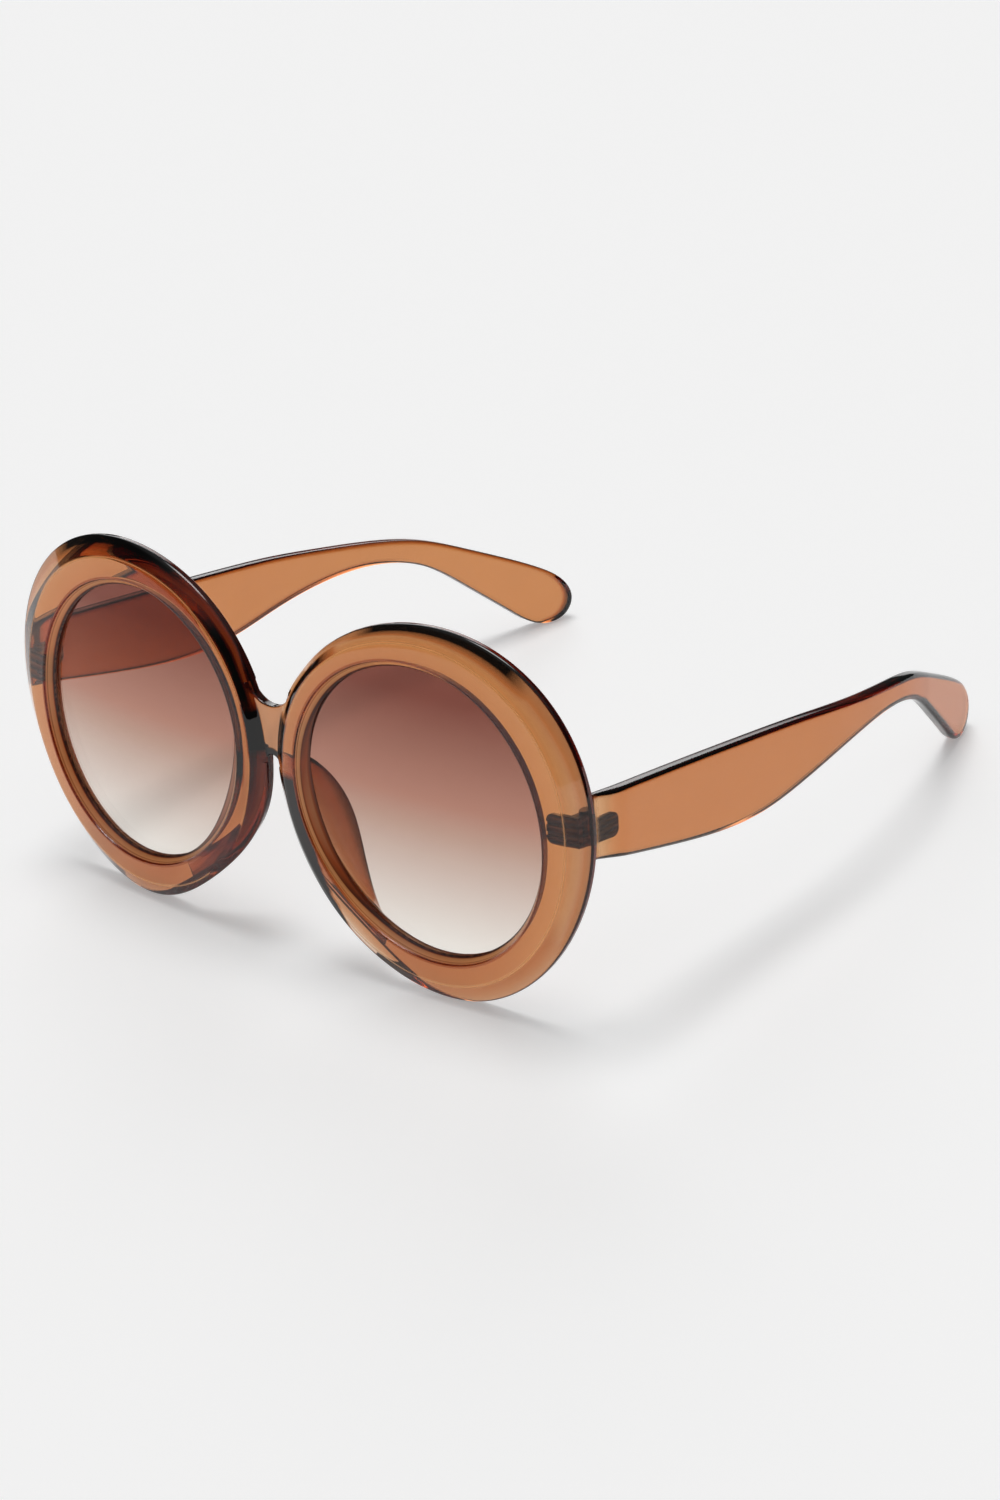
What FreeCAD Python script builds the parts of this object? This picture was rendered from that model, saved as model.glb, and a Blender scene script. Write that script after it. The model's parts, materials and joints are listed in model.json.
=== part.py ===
import FreeCAD, Part
import math
import os

from FreeCAD import Placement, Rotation, Vector

# Oversized round sunglasses, in millimetres and degrees.
# X runs to the wearer's left, Y backwards along the temples, Z up.
# The pieces are drawn with the front upright, its lens centres on Z = 0 and the
# front edge of the lens openings near Y = 0. The finished pair is then tipped back
# until both rims and both temple tips stand on the ground.

# Lens openings and rims
opening_radius = 29.5       # mean radius of the opening at its front edge
opening_oval = 0.3          # the outline's departures from a circle: wider than tall,
opening_tilt = -0.7         # its oval leaning,
opening_lobes = -0.3        # a rounded triangle,
opening_lobes_tilt = 0.2    # and the triangle leaning
bridge_gap = 17.0           # between the two openings, as frames are measured
rim_width = 7.85            # mean, from the opening to the outer edge
rim_oval = 0.3
rim_tilt = 0.5
rim_lobes = -0.3
rim_lobes_tilt = 0.8
rim_shift_out = 1.7         # outer outline moved towards the temple
rim_shift_up = -0.15
rim_depth = 4.5             # front edge of the opening to the back face
rim_wall = 1.5              # straight outer wall behind the bevel
crease_width = 4.25         # opening to the crease between front face and bevel
crease_drop = 0.6           # how far the crease lies behind the opening's edge
wrap_angle = 3.9            # each rim turned back towards its temple
nose_relief = 2.6           # rim narrowed beside the nose by this much at most
nose_relief_angle = 238.0   # its middle, round the rim from the temple side upwards
nose_relief_half_angle = 52.0
nose_bevel_drop = 0.1       # depth of the bevel that is left there
nose_splay = 2.6            # outer wall leaning towards the lens there

# Lenses and the groove that holds them
lens_thickness = 1.6
lens_curve_radius = 240.0
lens_recess = 2.1           # opening edge back to the lens, measured at the lens edge
lens_step = 1.35            # how far the slanted wall narrows the opening to the lens
groove_depth = 0.8
lens_clearance = 0.05
back_flare = 0.4            # opening behind the lens widens by this much

# Bridge
bridge_top = 12.4           # valley above the lens centres
bridge_bottom = 2.4         # nose arch above the lens centres
bridge_set_back = 1.7       # bridge face behind the creases
bridge_overlap = 2.5        # how far the bridge runs into each rim

# Nose pads, bonded behind the lower inner rims
pad_start_angle = 174.0     # round the rim, from the temple side upwards
pad_end_angle = 246.0
pad_set_in = 0.2            # seat inside the edge of the rim's back face
pad_seat_width = 3.6
pad_reach = 6.2             # behind the rim
pad_ridge_out = 2.7         # both ends of the ridge outside the opening's edge
pad_lean = 6.0              # its middle moved from there towards the lens
pad_ridge_width = 1.8
pad_root = 0.08             # share of the reach that is left at both ends
pad_skew = 0.68             # below 1 the ridge is highest near its upper end

# Hinges
hinge_height = 3.2          # middle of the hinge above the lens centres
knuckle_radius = 1.5
knuckle_height = 1.9
knuckle_gap = 0.05          # between neighbouring knuckles
hinge_clearance = 0.15      # knuckles to the leaves and plastic beside them
leaf_thickness = 1.2
leaf_wall = 0.3             # plastic between the front leaf and the lens groove
temple_leaf_length = 5.4    # from the axis along the temple
temple_leaf_height = 4.8
leaf_corner = 1.4
leaf_neck = 1.2             # half width of the necks that carry the knuckles
grip_groove_width = 0.7
grip_groove_depth = 0.5
grip_groove_pitch = 2.0
screw_radius = 0.7
screw_fit = 0.03
screw_head_radius = 1.25
screw_head_height = 0.7
screw_slot_width = 0.35
screw_slot_depth = 0.3

# Temples. The edges are (distance behind the hinge axis, height from the hinge middle).
temple_overhang = 0.7       # outer face of the temple outside the rim
temple_thickness = 3.4
temple_toe_in = 1.4
temple_straight = 60.0      # hinge axis to the start of the inward bend
temple_bend_radius = 141.0
temple_bend_turn = 19.8
end_gap = 0.2               # open temple to the back of the rim that stops it
temple_top_edge = (
    (23.0, 6.2), (48.0, 4.8), (63.0, 3.7), (78.0, 2.1), (90.0, 0.8),
    (101.0, -1.2), (112.0, -5.4), (122.0, -9.8), (128.0, -12.8),
)
temple_tip = ((132.6, -16.2), (134.5, -20.4), (132.6, -24.4))
temple_bottom_edge = (
    (128.4, -25.6), (121.0, -21.6), (111.6, -14.1), (101.0, -6.9), (90.0, -4.4),
    (77.5, -5.0), (62.5, -7.9), (47.0, -11.0), (22.0, -9.5),
)
temple_front_top = 7.3      # butt end above the hinge middle
temple_front_bottom = -5.4

# Values that follow from the sizes above
lens_centre = opening_radius + bridge_gap / 2
seat_radius = opening_radius - lens_step
groove_radius = seat_radius + groove_depth
outer_radius = opening_radius + rim_width
hinge_offset = knuckle_radius + hinge_clearance
knuckle_step = knuckle_height + knuckle_gap
hinge_half = knuckle_step + knuckle_height / 2
wrap = math.radians(wrap_angle)
opening_swell = (opening_oval, opening_tilt, opening_lobes, opening_lobes_tilt)
rim_swell = (rim_oval, rim_tilt, rim_lobes, rim_lobes_tilt)
CURVE_POINTS = 48
SEAM = math.pi / 2
PAD_SECTIONS = 9
UP = Vector(0, 0, 1)


def swell(terms, angle):
    """Departure of an outline from its circle, from its terms in two and three times the angle."""
    return (
        terms[0] * math.cos(2 * angle) + terms[1] * math.sin(2 * angle)
        + terms[2] * math.cos(3 * angle) + terms[3] * math.sin(3 * angle)
    )


def rim_point(across, depth, height):
    """Point given along the left rim's own face, into it and up."""
    return Vector(
        lens_centre + across * math.cos(wrap) - depth * math.sin(wrap),
        across * math.sin(wrap) + depth * math.cos(wrap),
        height,
    )


def nose_share(angle):
    """Share of the nose relief at one angle: all in its middle, none past its ends."""
    offset = (math.degrees(angle) - nose_relief_angle) / nose_relief_half_angle
    if abs(offset) >= 1:
        return 0.0
    return math.cos(math.pi / 2 * offset) ** 2


def opening_outline(angle, grow):
    """Opening outline grown by a distance, as (across, height)."""
    radius = opening_radius + grow + swell(opening_swell, angle)
    return radius * math.cos(angle), radius * math.sin(angle)


def outer_outline(angle, relief=nose_relief):
    """Outer outline of the rim, as (across, height)."""
    radius = outer_radius + swell(rim_swell, angle) - relief * nose_share(angle)
    across = rim_shift_out + radius * math.cos(angle)
    return across, rim_shift_up + radius * math.sin(angle)


def back_outline(angle):
    """Outer outline of the rim's back face, splayed beside the nose."""
    return outer_outline(angle, nose_relief + nose_splay)


def crease_outline(angle):
    """Line between the front face and the bevel, as (across, height)."""
    terms = [(a + b) / 2 for a, b in zip(opening_swell, rim_swell)]
    radius = opening_radius + crease_width + swell(terms, angle)
    across = rim_shift_out / 2 + radius * math.cos(angle)
    return across, rim_shift_up / 2 + radius * math.sin(angle)


def lens_sag(radius, surface_radius):
    """Depth of a lens surface behind the lens apex at a distance from the axis."""
    return lens_curve_radius - math.sqrt(surface_radius ** 2 - radius ** 2)


lens_apex = lens_recess - lens_sag(seat_radius, lens_curve_radius)


def closed_curve(outline, depth):
    """Closed smooth edge on the left rim; depth is a size or a rule of angle and radius."""
    points = []
    for step in range(CURVE_POINTS):
        angle = (SEAM + 2 * math.pi * step / CURVE_POINTS) % (2 * math.pi)
        across, height = outline(angle)
        behind = depth(angle, math.hypot(across, height)) if callable(depth) else depth
        points.append(rim_point(across, behind, height))
    curve = Part.BSplineCurve()
    parameters = [step / CURVE_POINTS for step in range(CURVE_POINTS + 1)]
    curve.interpolate(Points=points, Parameters=parameters, PeriodicFlag=True)
    return curve.toShape()


def make_rim():
    """Left rim: its profile with the lens groove, carried round the outlines."""
    def front_lip(angle, radius):
        return lens_apex + lens_sag(radius, lens_curve_radius) - lens_clearance

    def back_lip(angle, radius):
        return lens_apex + lens_sag(radius, lens_curve_radius - lens_thickness) + lens_clearance

    def bevel_foot(angle, radius):
        share = nose_share(angle)
        return (rim_depth - rim_wall) * (1 - share) + (crease_drop + nose_bevel_drop) * share

    lip = seat_radius - opening_radius
    floor = groove_radius - opening_radius
    edges = [
        closed_curve(lambda a: opening_outline(a, 0), 0.0),
        closed_curve(crease_outline, crease_drop),
        closed_curve(outer_outline, bevel_foot),
        closed_curve(back_outline, rim_depth),
        closed_curve(lambda a: opening_outline(a, lip + back_flare), rim_depth),
        closed_curve(lambda a: opening_outline(a, lip), back_lip),
        closed_curve(lambda a: opening_outline(a, floor), back_lip),
        closed_curve(lambda a: opening_outline(a, floor), front_lip),
        closed_curve(lambda a: opening_outline(a, lip), front_lip),
    ]
    faces = []
    for index, edge in enumerate(edges):
        faces.append(Part.makeRuledSurface(edge, edges[(index + 1) % len(edges)]))
    shell = Part.makeShell(faces)
    shell.sewShape()
    rim = Part.makeSolid(shell)
    if rim.Volume < 0:
        rim.reverse()
    return rim


def make_lens():
    """Left lens: a slice of a thin spherical shell, cut to the groove's outline."""
    edge = groove_radius - opening_radius - lens_clearance
    outline = closed_curve(lambda a: opening_outline(a, edge), -rim_depth)
    blank = Part.Face(Part.Wire(outline)).extrude(
        rim_point(0, 3 * rim_depth, 0) - rim_point(0, 0, 0)
    )
    centre = rim_point(0, lens_apex + lens_curve_radius, 0)
    front = Part.makeSphere(lens_curve_radius, centre)
    back = Part.makeSphere(lens_curve_radius - lens_thickness, centre)
    return blank.common(front).cut(back)


def make_bridge():
    """Bridge: a web between the rims, its valley and arch tangent to both outlines."""
    nose_side = math.pi
    rim_x = lens_centre + rim_shift_out
    rim_radius = outer_radius + rim_swell[0]
    front = rim_point(crease_outline(nose_side)[0], crease_drop + bridge_set_back, 0).y
    back = rim_point(outer_outline(nose_side)[0], rim_depth, 0).y

    def tangent_arc(middle, side):
        """Where the valley or the arch touches the rim, and a point inside the rim there."""
        rise = side * (middle - rim_shift_up)
        radius = (rise ** 2 + rim_x ** 2 - rim_radius ** 2) / (2 * (rim_radius - rise))
        height = middle + side * radius
        share = radius / (radius + rim_radius)
        touch = Vector(rim_x * share, front, height + (rim_shift_up - height) * share)
        towards = Vector(rim_x, front, rim_shift_up) - touch
        inside = touch + towards.normalize() * bridge_overlap
        return touch, inside

    def flip(point):
        return Vector(-point.x, point.y, point.z)

    top, top_in = tangent_arc(bridge_top, 1)
    low, low_in = tangent_arc(bridge_bottom, -1)
    valley = Part.Arc(flip(top), Vector(0, front, bridge_top), top).toShape()
    arch = Part.Arc(low, Vector(0, front, bridge_bottom), flip(low)).toShape()
    right = Part.makePolygon([top, top_in, low_in, low]).Edges
    left = Part.makePolygon([flip(low), flip(low_in), flip(top_in), flip(top)]).Edges
    outline = Part.Wire([valley] + right + [arch] + left)
    return Part.Face(outline).extrude(Vector(0, back - front, 0))


def hinge_across():
    """Distance of the left hinge axis from the lens centre, inside the temple."""
    rim_side = rim_point(outer_outline(0)[0], rim_depth, 0).x
    wanted = rim_side + temple_overhang - temple_thickness - hinge_offset
    return (wanted - lens_centre + hinge_depth * math.sin(wrap)) / math.cos(wrap)


hinge_depth = rim_depth + hinge_offset
groove_across = opening_outline(0, groove_radius - opening_radius)[0]
front_leaf_length = hinge_across() - groove_across - leaf_wall
AXIS = rim_point(hinge_across(), hinge_depth, hinge_height)
TEMPLE_FRAME = Placement(AXIS, Rotation(UP, temple_toe_in))
FRONT_LEAF_FRAME = Placement(AXIS, Rotation(UP, wrap_angle))


def block(low, high):
    """Box between two corners."""
    size = high - low
    return Part.makeBox(size.x, size.y, size.z, low)


def placed(shape, frame):
    """Copy of a shape drawn in a local frame, put in its place."""
    copy = shape.copy()
    copy.Placement = frame.multiply(copy.Placement)
    return copy


def rounded_plate(length, height, thickness, corner):
    """Plate in X and Z from X = 0 to its length, far corners round, thick along Y."""
    half = height / 2
    turn = corner * (1 - math.sqrt(0.5))
    start = Vector(0, 0, -half)
    near = Vector(length - corner, 0, -half)
    low = Vector(length, 0, corner - half)
    high = Vector(length, 0, half - corner)
    far = Vector(length - corner, 0, half)
    end = Vector(0, 0, half)
    edges = [
        Part.LineSegment(start, near).toShape(),
        Part.Arc(near, Vector(length - turn, 0, turn - half), low).toShape(),
        Part.LineSegment(low, high).toShape(),
        Part.Arc(high, Vector(length - turn, 0, half - turn), far).toShape(),
        Part.LineSegment(far, end).toShape(),
        Part.LineSegment(end, start).toShape(),
    ]
    return Part.Face(Part.Wire(edges)).extrude(Vector(0, thickness, 0))


def knuckle(level):
    """One knuckle at a level of the hinge, counted from its middle, before boring."""
    bottom = level * knuckle_step - knuckle_height / 2
    return Part.makeCylinder(knuckle_radius, knuckle_height, Vector(0, 0, bottom))


def bore():
    """Hole for the screw through all the knuckles."""
    radius = screw_radius + screw_fit
    return Part.makeCylinder(radius, 4 * hinge_half, Vector(0, 0, -2 * hinge_half))


def make_front_leaf():
    """Leaf sunk in the rim, with grip grooves and the two outer knuckles."""
    plate = rounded_plate(front_leaf_length + leaf_neck, 2 * hinge_half, leaf_thickness, leaf_corner)
    plate.rotate(Vector(0, 0, 0), UP, 180)
    plate.translate(Vector(leaf_neck, -hinge_offset, 0))
    for side in (-1, 1):
        middle = side * grip_groove_pitch / 2
        plate = plate.cut(block(
            Vector(-2 * front_leaf_length, -hinge_offset - leaf_thickness, middle - grip_groove_width / 2),
            Vector(
                -knuckle_radius,
                -hinge_offset - leaf_thickness + grip_groove_depth,
                middle + grip_groove_width / 2,
            ),
        ))
    leaf = plate
    for level in (-1, 1):
        bottom = level * knuckle_step - knuckle_height / 2
        neck = block(
            Vector(-leaf_neck, -hinge_offset - leaf_thickness / 2, bottom),
            Vector(leaf_neck, 0, bottom + knuckle_height),
        )
        leaf = leaf.fuse([neck, knuckle(level)])
    return placed(leaf.cut(bore()).removeSplitter(), FRONT_LEAF_FRAME)


def make_temple_leaf():
    """Leaf sunk in the temple's inner face, with the middle knuckle."""
    plate = rounded_plate(temple_leaf_length - end_gap, temple_leaf_height, leaf_thickness, leaf_corner)
    plate.rotate(Vector(0, 0, 0), UP, 90)
    plate.translate(Vector(hinge_offset + leaf_thickness, end_gap, 0))
    neck = block(
        Vector(0, end_gap, -knuckle_height / 2),
        Vector(hinge_offset + leaf_thickness / 2, leaf_neck, knuckle_height / 2),
    )
    leaf = plate.fuse([neck, knuckle(0)]).cut(bore())
    return placed(leaf.removeSplitter(), TEMPLE_FRAME)


def make_screw():
    """Hinge screw: a plain shank and a slotted head on the upper knuckle."""
    shank = Part.makeCylinder(screw_radius, 2 * hinge_half, Vector(0, 0, -hinge_half))
    head = Part.makeCylinder(screw_head_radius, screw_head_height, Vector(0, 0, hinge_half))
    top = hinge_half + screw_head_height
    slot = block(
        Vector(-2 * screw_head_radius, -screw_slot_width / 2, top - screw_slot_depth),
        Vector(2 * screw_head_radius, screw_slot_width / 2, top + screw_head_height),
    )
    return placed(shank.fuse(head).cut(slot).removeSplitter(), TEMPLE_FRAME)


def temple_start():
    """Butt end of the temple, measured back from the hinge axis: a gap behind the rim."""
    turn = math.radians(wrap_angle - temple_toe_in)
    sides = (hinge_offset, hinge_offset + temple_thickness)
    nearest = max(side * math.sin(turn) for side in sides)
    return (nearest + end_gap - hinge_offset) / math.cos(turn)


def temple_side_face():
    """Side view of the temple in its own frame, drawn on the plane X = 0."""
    front_top = Vector(0, temple_start(), temple_front_top)
    front_low = Vector(0, temple_start(), temple_front_bottom)
    points = [front_top]
    points += [Vector(0, v, z) for v, z in temple_top_edge + temple_tip + temple_bottom_edge]
    points.append(front_low)
    edge = Part.BSplineCurve()
    edge.interpolate(points)
    return Part.Face(Part.Wire([edge.toShape(), Part.LineSegment(front_low, front_top).toShape()]))


def temple_plan_face(bottom):
    """Plan of the temple: straight, then bent inwards, then straight to the tip."""
    turn = math.radians(temple_bend_turn)
    reach = temple_tip[1][0]

    def side(offset):
        """Edges of one side, at a distance from the inner face."""
        radius = temple_bend_radius + offset
        x0 = hinge_offset + offset
        centre = Vector(hinge_offset - temple_bend_radius, temple_straight, bottom)

        def around(angle):
            return centre + Vector(radius * math.cos(angle), radius * math.sin(angle), 0)

        start = Vector(x0, 2 * temple_start(), bottom)
        bend = around(0)
        tip = around(turn)
        end = tip + Vector(-math.sin(turn), math.cos(turn), 0) * reach
        edges = [
            Part.LineSegment(start, bend).toShape(),
            Part.Arc(bend, around(turn / 2), tip).toShape(),
            Part.LineSegment(tip, end).toShape(),
        ]
        return edges, start, end

    inner, inner_start, inner_end = side(0.0)
    outer, outer_start, outer_end = side(temple_thickness)
    across = Part.LineSegment(inner_end, outer_end).toShape()
    butt = Part.LineSegment(outer_start, inner_start).toShape()
    return Part.Face(Part.Wire(Part.sortEdges(inner + outer + [across, butt])[0]))


def make_temple():
    """Temple: the side view carried across, kept where the plan covers it."""
    lowest = min(z for v, z in temple_tip + temple_bottom_edge) - temple_thickness
    highest = temple_front_top + temple_thickness
    strip = temple_plan_face(lowest).extrude(Vector(0, 0, highest - lowest))
    side_face = temple_side_face()
    width = 2 * temple_bend_radius
    side_face.translate(Vector(-width, 0, 0))
    body = strip.common(side_face.extrude(Vector(2 * width, 0, 0)))
    return placed(body, TEMPLE_FRAME)


def make_nose_pad():
    """Pad behind the lower inner rim: a ridge that rises, leans to the lens and fades."""
    sections = []
    for step in range(PAD_SECTIONS):
        share = step / (PAD_SECTIONS - 1)
        turn = pad_start_angle + share * (pad_end_angle - pad_start_angle)
        across, height = back_outline(math.radians(turn))
        edge = math.hypot(across, height)
        rise = pad_root + (1 - pad_root) * math.sin(math.pi * share ** pad_skew)
        seat = edge - pad_set_in - pad_seat_width / 2
        ridge = opening_radius + pad_ridge_out - pad_lean * rise
        top = rim_depth + pad_reach * rise
        corners = [
            (seat - pad_seat_width / 2, rim_depth),
            (seat + pad_seat_width / 2, rim_depth),
            (ridge + pad_ridge_width / 2, top),
            (ridge - pad_ridge_width / 2, top),
        ]
        points = [rim_point(r * across / edge, d, r * height / edge) for r, d in corners]
        sections.append(Part.makePolygon(points + points[:1]))
    return Part.makeLoft(sections, True, False)


def mirrored(shape):
    """Same piece for the wearer's right."""
    return shape.mirror(Vector(0, 0, 0), Vector(1, 0, 0))


def lowest_after(shape, lean):
    """Lowest point of a shape tipped back by an angle."""
    tipped = placed(shape, Placement(Vector(0, 0, 0), Rotation(Vector(1, 0, 0), -lean)))
    return tipped.optimalBoundingBox(True, False).ZMin


def standing_lean(front, temple):
    """Angle, by halving, at which the rims and the temple tips share the ground."""
    low, high = -30.0, 30.0
    for step in range(30):
        middle = (low + high) / 2
        if lowest_after(temple, middle) > lowest_after(front, middle):
            low = middle
        else:
            high = middle
    return (low + high) / 2


def make_pieces():
    """All the pieces by name, with the front still upright."""
    half = make_rim()
    front_leaf = make_front_leaf()
    temple_leaf = make_temple_leaf()
    front = half.fuse(mirrored(half)).fuse(make_bridge())
    front = front.cut([front_leaf, mirrored(front_leaf)])
    left = {
        "lens": make_lens(),
        "nose_pad": make_nose_pad(),
        "front_hinge_leaf": front_leaf,
        "temple_hinge_leaf": temple_leaf,
        "hinge_screw": make_screw(),
        "temple": make_temple().cut(temple_leaf),
    }
    pieces = {"front_frame": front}
    for name, shape in left.items():
        pieces[name + "_left"] = shape
        pieces[name + "_right"] = mirrored(shape)
    return pieces


def single_solid(shape):
    """The one solid in a result."""
    if len(shape.Solids) != 1:
        raise ValueError("expected one solid, found %d" % len(shape.Solids))
    return shape.Solids[0]


PIECES = {name: single_solid(shape) for name, shape in make_pieces().items()}
LEAN = standing_lean(PIECES["front_frame"], PIECES["temple_left"])
TIP_BACK = Placement(Vector(0, 0, 0), Rotation(Vector(1, 0, 0), -LEAN))
tipped = Part.makeCompound([placed(shape, TIP_BACK) for shape in PIECES.values()])
extent = tipped.optimalBoundingBox(True, False)
STAND = Placement(
    Vector(0, -(extent.YMin + extent.YMax) / 2, -extent.ZMin),
    Rotation(Vector(1, 0, 0), -LEAN),
)

os.makedirs("parts", exist_ok=True)
for name, shape in PIECES.items():
    placed(shape, STAND).exportStep("parts/" + name + ".step")
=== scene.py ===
import json
import math

import bmesh
import bpy
import numpy as np
from bpy.props import FloatProperty, FloatVectorProperty, PointerProperty
from bpy.types import Operator, Panel, PropertyGroup
from mathutils import Matrix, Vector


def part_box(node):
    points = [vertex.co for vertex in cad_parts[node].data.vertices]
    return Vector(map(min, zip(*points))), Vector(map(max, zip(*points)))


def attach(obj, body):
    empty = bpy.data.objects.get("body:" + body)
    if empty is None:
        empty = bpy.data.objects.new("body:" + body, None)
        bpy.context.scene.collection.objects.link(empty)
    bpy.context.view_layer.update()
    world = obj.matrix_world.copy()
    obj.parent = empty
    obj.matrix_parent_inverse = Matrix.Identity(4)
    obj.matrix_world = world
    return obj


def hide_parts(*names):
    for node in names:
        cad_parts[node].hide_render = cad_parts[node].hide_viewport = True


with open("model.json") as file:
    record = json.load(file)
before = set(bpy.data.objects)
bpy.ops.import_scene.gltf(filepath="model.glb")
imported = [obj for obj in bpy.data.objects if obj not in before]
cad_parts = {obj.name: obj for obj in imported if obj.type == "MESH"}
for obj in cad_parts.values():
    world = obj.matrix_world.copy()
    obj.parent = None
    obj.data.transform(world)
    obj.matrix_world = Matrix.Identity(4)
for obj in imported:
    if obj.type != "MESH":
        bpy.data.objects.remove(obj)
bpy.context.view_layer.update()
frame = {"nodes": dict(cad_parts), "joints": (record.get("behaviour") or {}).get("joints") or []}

bl_info = {
    "name": "Oversized Round Sunglasses",
    "version": (1, 0, 0),
    "blender": (4, 5, 0),
    "location": "View3D > Sidebar > Sunglasses",
    "description": "Builds a pair of see-through amber sunglasses around its packed frame",
    "category": "Object",
}

JOINTS = {joint["name"]: joint for joint in frame["joints"]}
MM = 0.001
WHITE = (1.0, 1.0, 1.0, 1.0)

# Points closer than this are welded into one, and edges that turn by more than the angle stay sharp
WELD = 1e-6
SHARP_ANGLE = math.radians(32)

# Angles round a whole outline, close together
DENSE = np.linspace(0.0, 2 * np.pi, 1440, endpoint=False)

# Long side of the camera's sensor, in millimetres
SENSOR_LENGTH = 36.0

# Side view of a temple: (distance behind the hinge axis, height from the hinge middle), in millimetres.
# The butt end's two corners are sizes of their own, and the tip's middle point parts the two edges.
TEMPLE_TOP_EDGE = (
    (23.0, 6.2), (48.0, 4.8), (63.0, 3.7), (78.0, 2.1), (90.0, 0.8),
    (101.0, -1.2), (112.0, -5.4), (122.0, -9.8), (128.0, -12.8),
)
TEMPLE_TIP = ((132.6, -16.2), (134.5, -20.4), (132.6, -24.4))
TEMPLE_BOTTOM_EDGE = (
    (128.4, -25.6), (121.0, -21.6), (111.6, -14.1), (101.0, -6.9), (90.0, -4.4),
    (77.5, -5.0), (62.5, -7.9), (47.0, -11.0), (22.0, -9.5),
)

# Painted shade is how dark the plastic is painted at a point, from 0 to 1. A stretch of it is in degrees
# round a rim from its temple side, and a band of it in shares of the bevel's width. Both rise from the first
# number to the second, and fall from the third to the fourth where there are four.
TOP_STRETCH, TOP_BAND = (36, 56, 108, 130), (0.3, 0.6)
STREAK_STRETCH, STREAK_BAND = (118, 134, 158, 170), (-0.05, 0.1, 0.55, 0.7)
BRIDGE_STRETCH, BRIDGE_BAND = (158, 163, 175, 180), (-0.25, 0.0)
LOW_STRETCH, LOW_PAINTED_SHADE = (240, 275, 325, 345), 0.42
NOSE_WALL_STRETCH, NOSE_WALL_PAINTED_SHADE, WALL_PAINTED_SHADE = (165, 180, 250, 270), 0.1, 0.6

# Painted shade of the bevel on the temple side: the angle of its middle, the cosines of the angle from there
# over which it rises, its darkness at the crease and what the outer edge adds, its band, plain and over the
# top, and the shares of the bevel over which it starts
SHADE_MIDDLE, SHADE_RISE = 50, (-0.6, 0.4)
OVER_TOP_MIDDLE, OVER_TOP_RISE = 75, (0.5, 0.9)
CREASE_SHADE, EDGE_SHADE = 0.12, 0.55
SHADE_BAND, OVER_TOP_BAND = (0.25, 1.0), (0.15, 0.85)
BEVEL_START = (0.0, 0.1)

# Painted shade of the face, darker or lighter round the rim: its mean, how far it swings, the angle where it
# is clearest, what is added low down, and the millimetres from the crease over which it comes in
FACE_PAINTED_SHADE_MEAN, FACE_PAINTED_SHADE_SWING, FACE_PAINTED_SHADE_CLEAREST = 0.18, 0.12, 20
LOW_FACE_PAINTED_SHADE_STRETCH, LOW_FACE_PAINTED_SHADE = (235, 260, 300, 330), 0.12
FACE_PAINTED_SHADE_RISE = (0.2, 0.5)

# Beside the nose the photo shows the wearer's left rim darker than the right one. The painted shade there
# goes out to its reach, in widths of the face, and over the taper its inner edge moves out from the opening.
NOSE_PAINTED_SHADE = {
    "left": {"stretch": (176, 181, 234, 242), "taper": (208, 238), "reach": 9.0},
    "right": {"stretch": (172, 177, 185, 194), "taper": (196, 200), "reach": 0.5},
}
NOSE_TAPER, NOSE_INNER_FADE, NOSE_OUTER_FADE = 1.1, 0.12, 0.2

# Painted shade in lines along the rim's outer edges: how dark they are, and the share of the rounding that is
# whole in front
RIM_LINE, RIM_LINE_CORE, BACK_LINE = 0.8, 0.25, 0.5

# Painted shade in a line along the opening and a band above the nose arch, with the millimetres from the edge
# over which they fade, and the painted shade of the rest of the bridge
LENS_LINE, LENS_LINE_FADE = 0.7, (0.35, 0.75)
ARCH_FADE, BRIDGE_FACE_PAINTED_SHADE = (1.4, 2.0), 0.45

# Painted highlight, a pale dull line along the crease: how dull it is, the millimetres over which it fades,
# and the painted shade that hides it
PAINTED_HIGHLIGHT_LINE, PAINTED_HIGHLIGHT_FADE, PAINTED_HIGHLIGHT_LIMIT = 0.9, (0.0, 0.3), 0.3

# Painted shade of the points round the lens groove and up the slanted wall, plain and where the lip is widest
GROOVE_PAINTED_SHADE = np.array([0.3, 0.6, 0.6, 0.9, 0.8, 0.97, 0.95, 0.2, 0.0, 0.45, 0.0])
COVERED_GROOVE_PAINTED_SHADE = np.array([0.3, 0.6, 0.6, 0.95, 0.3, 0.4, 0.75, 0.1, 0.0, 0.6, 0.0])

# Painted shade of the nose pads, as (how dark, share of the height where it starts, share where it is whole)
PAD_PAINTED_SHADE = ((0.48, 0.15, 0.4), (0.4, 0.8, 0.95))

# Painted shade in a dark line along the temples' edges: how dark it is, the shares of the quarter round over
# which it fades, and how much of it is left at the inner bottom edge
TEMPLE_LINE, TEMPLE_LINE_FADE, INNER_BOTTOM_LINE = 0.9, (0.35, 0.95), 0.25

# How the front's section is drawn: the largest rounding, as a share of the bevel, the fillet at the foot of
# the bridge, and the angles outside and inside the bridge's ends over which the bevel sinks to its face
ROUND_LIMIT = 0.24
WEB_FILLET = 0.3 * MM
WEB_SINK, WEB_OVERLAP = np.radians(12), np.radians(1)

# Share of each side of a nose pad's section that is rounded off at its seat
SEAT_SOFTNESS = 0.06

# How finely the front is drawn: degrees between its sections, between those of the bridge's span, and from
# the bridge's corners to the sections nearest to them
RIM_STEP, BRIDGE_STEP, BRIDGE_SPAN = 1.0, 0.25, (150, 183)
CORNER_STEPS = np.radians([0.0, 0.1, 0.2, 0.3, 0.45, 0.6])
ANGLE_DIGITS, ANGLE_MATCH = 7, 1e-6

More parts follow.
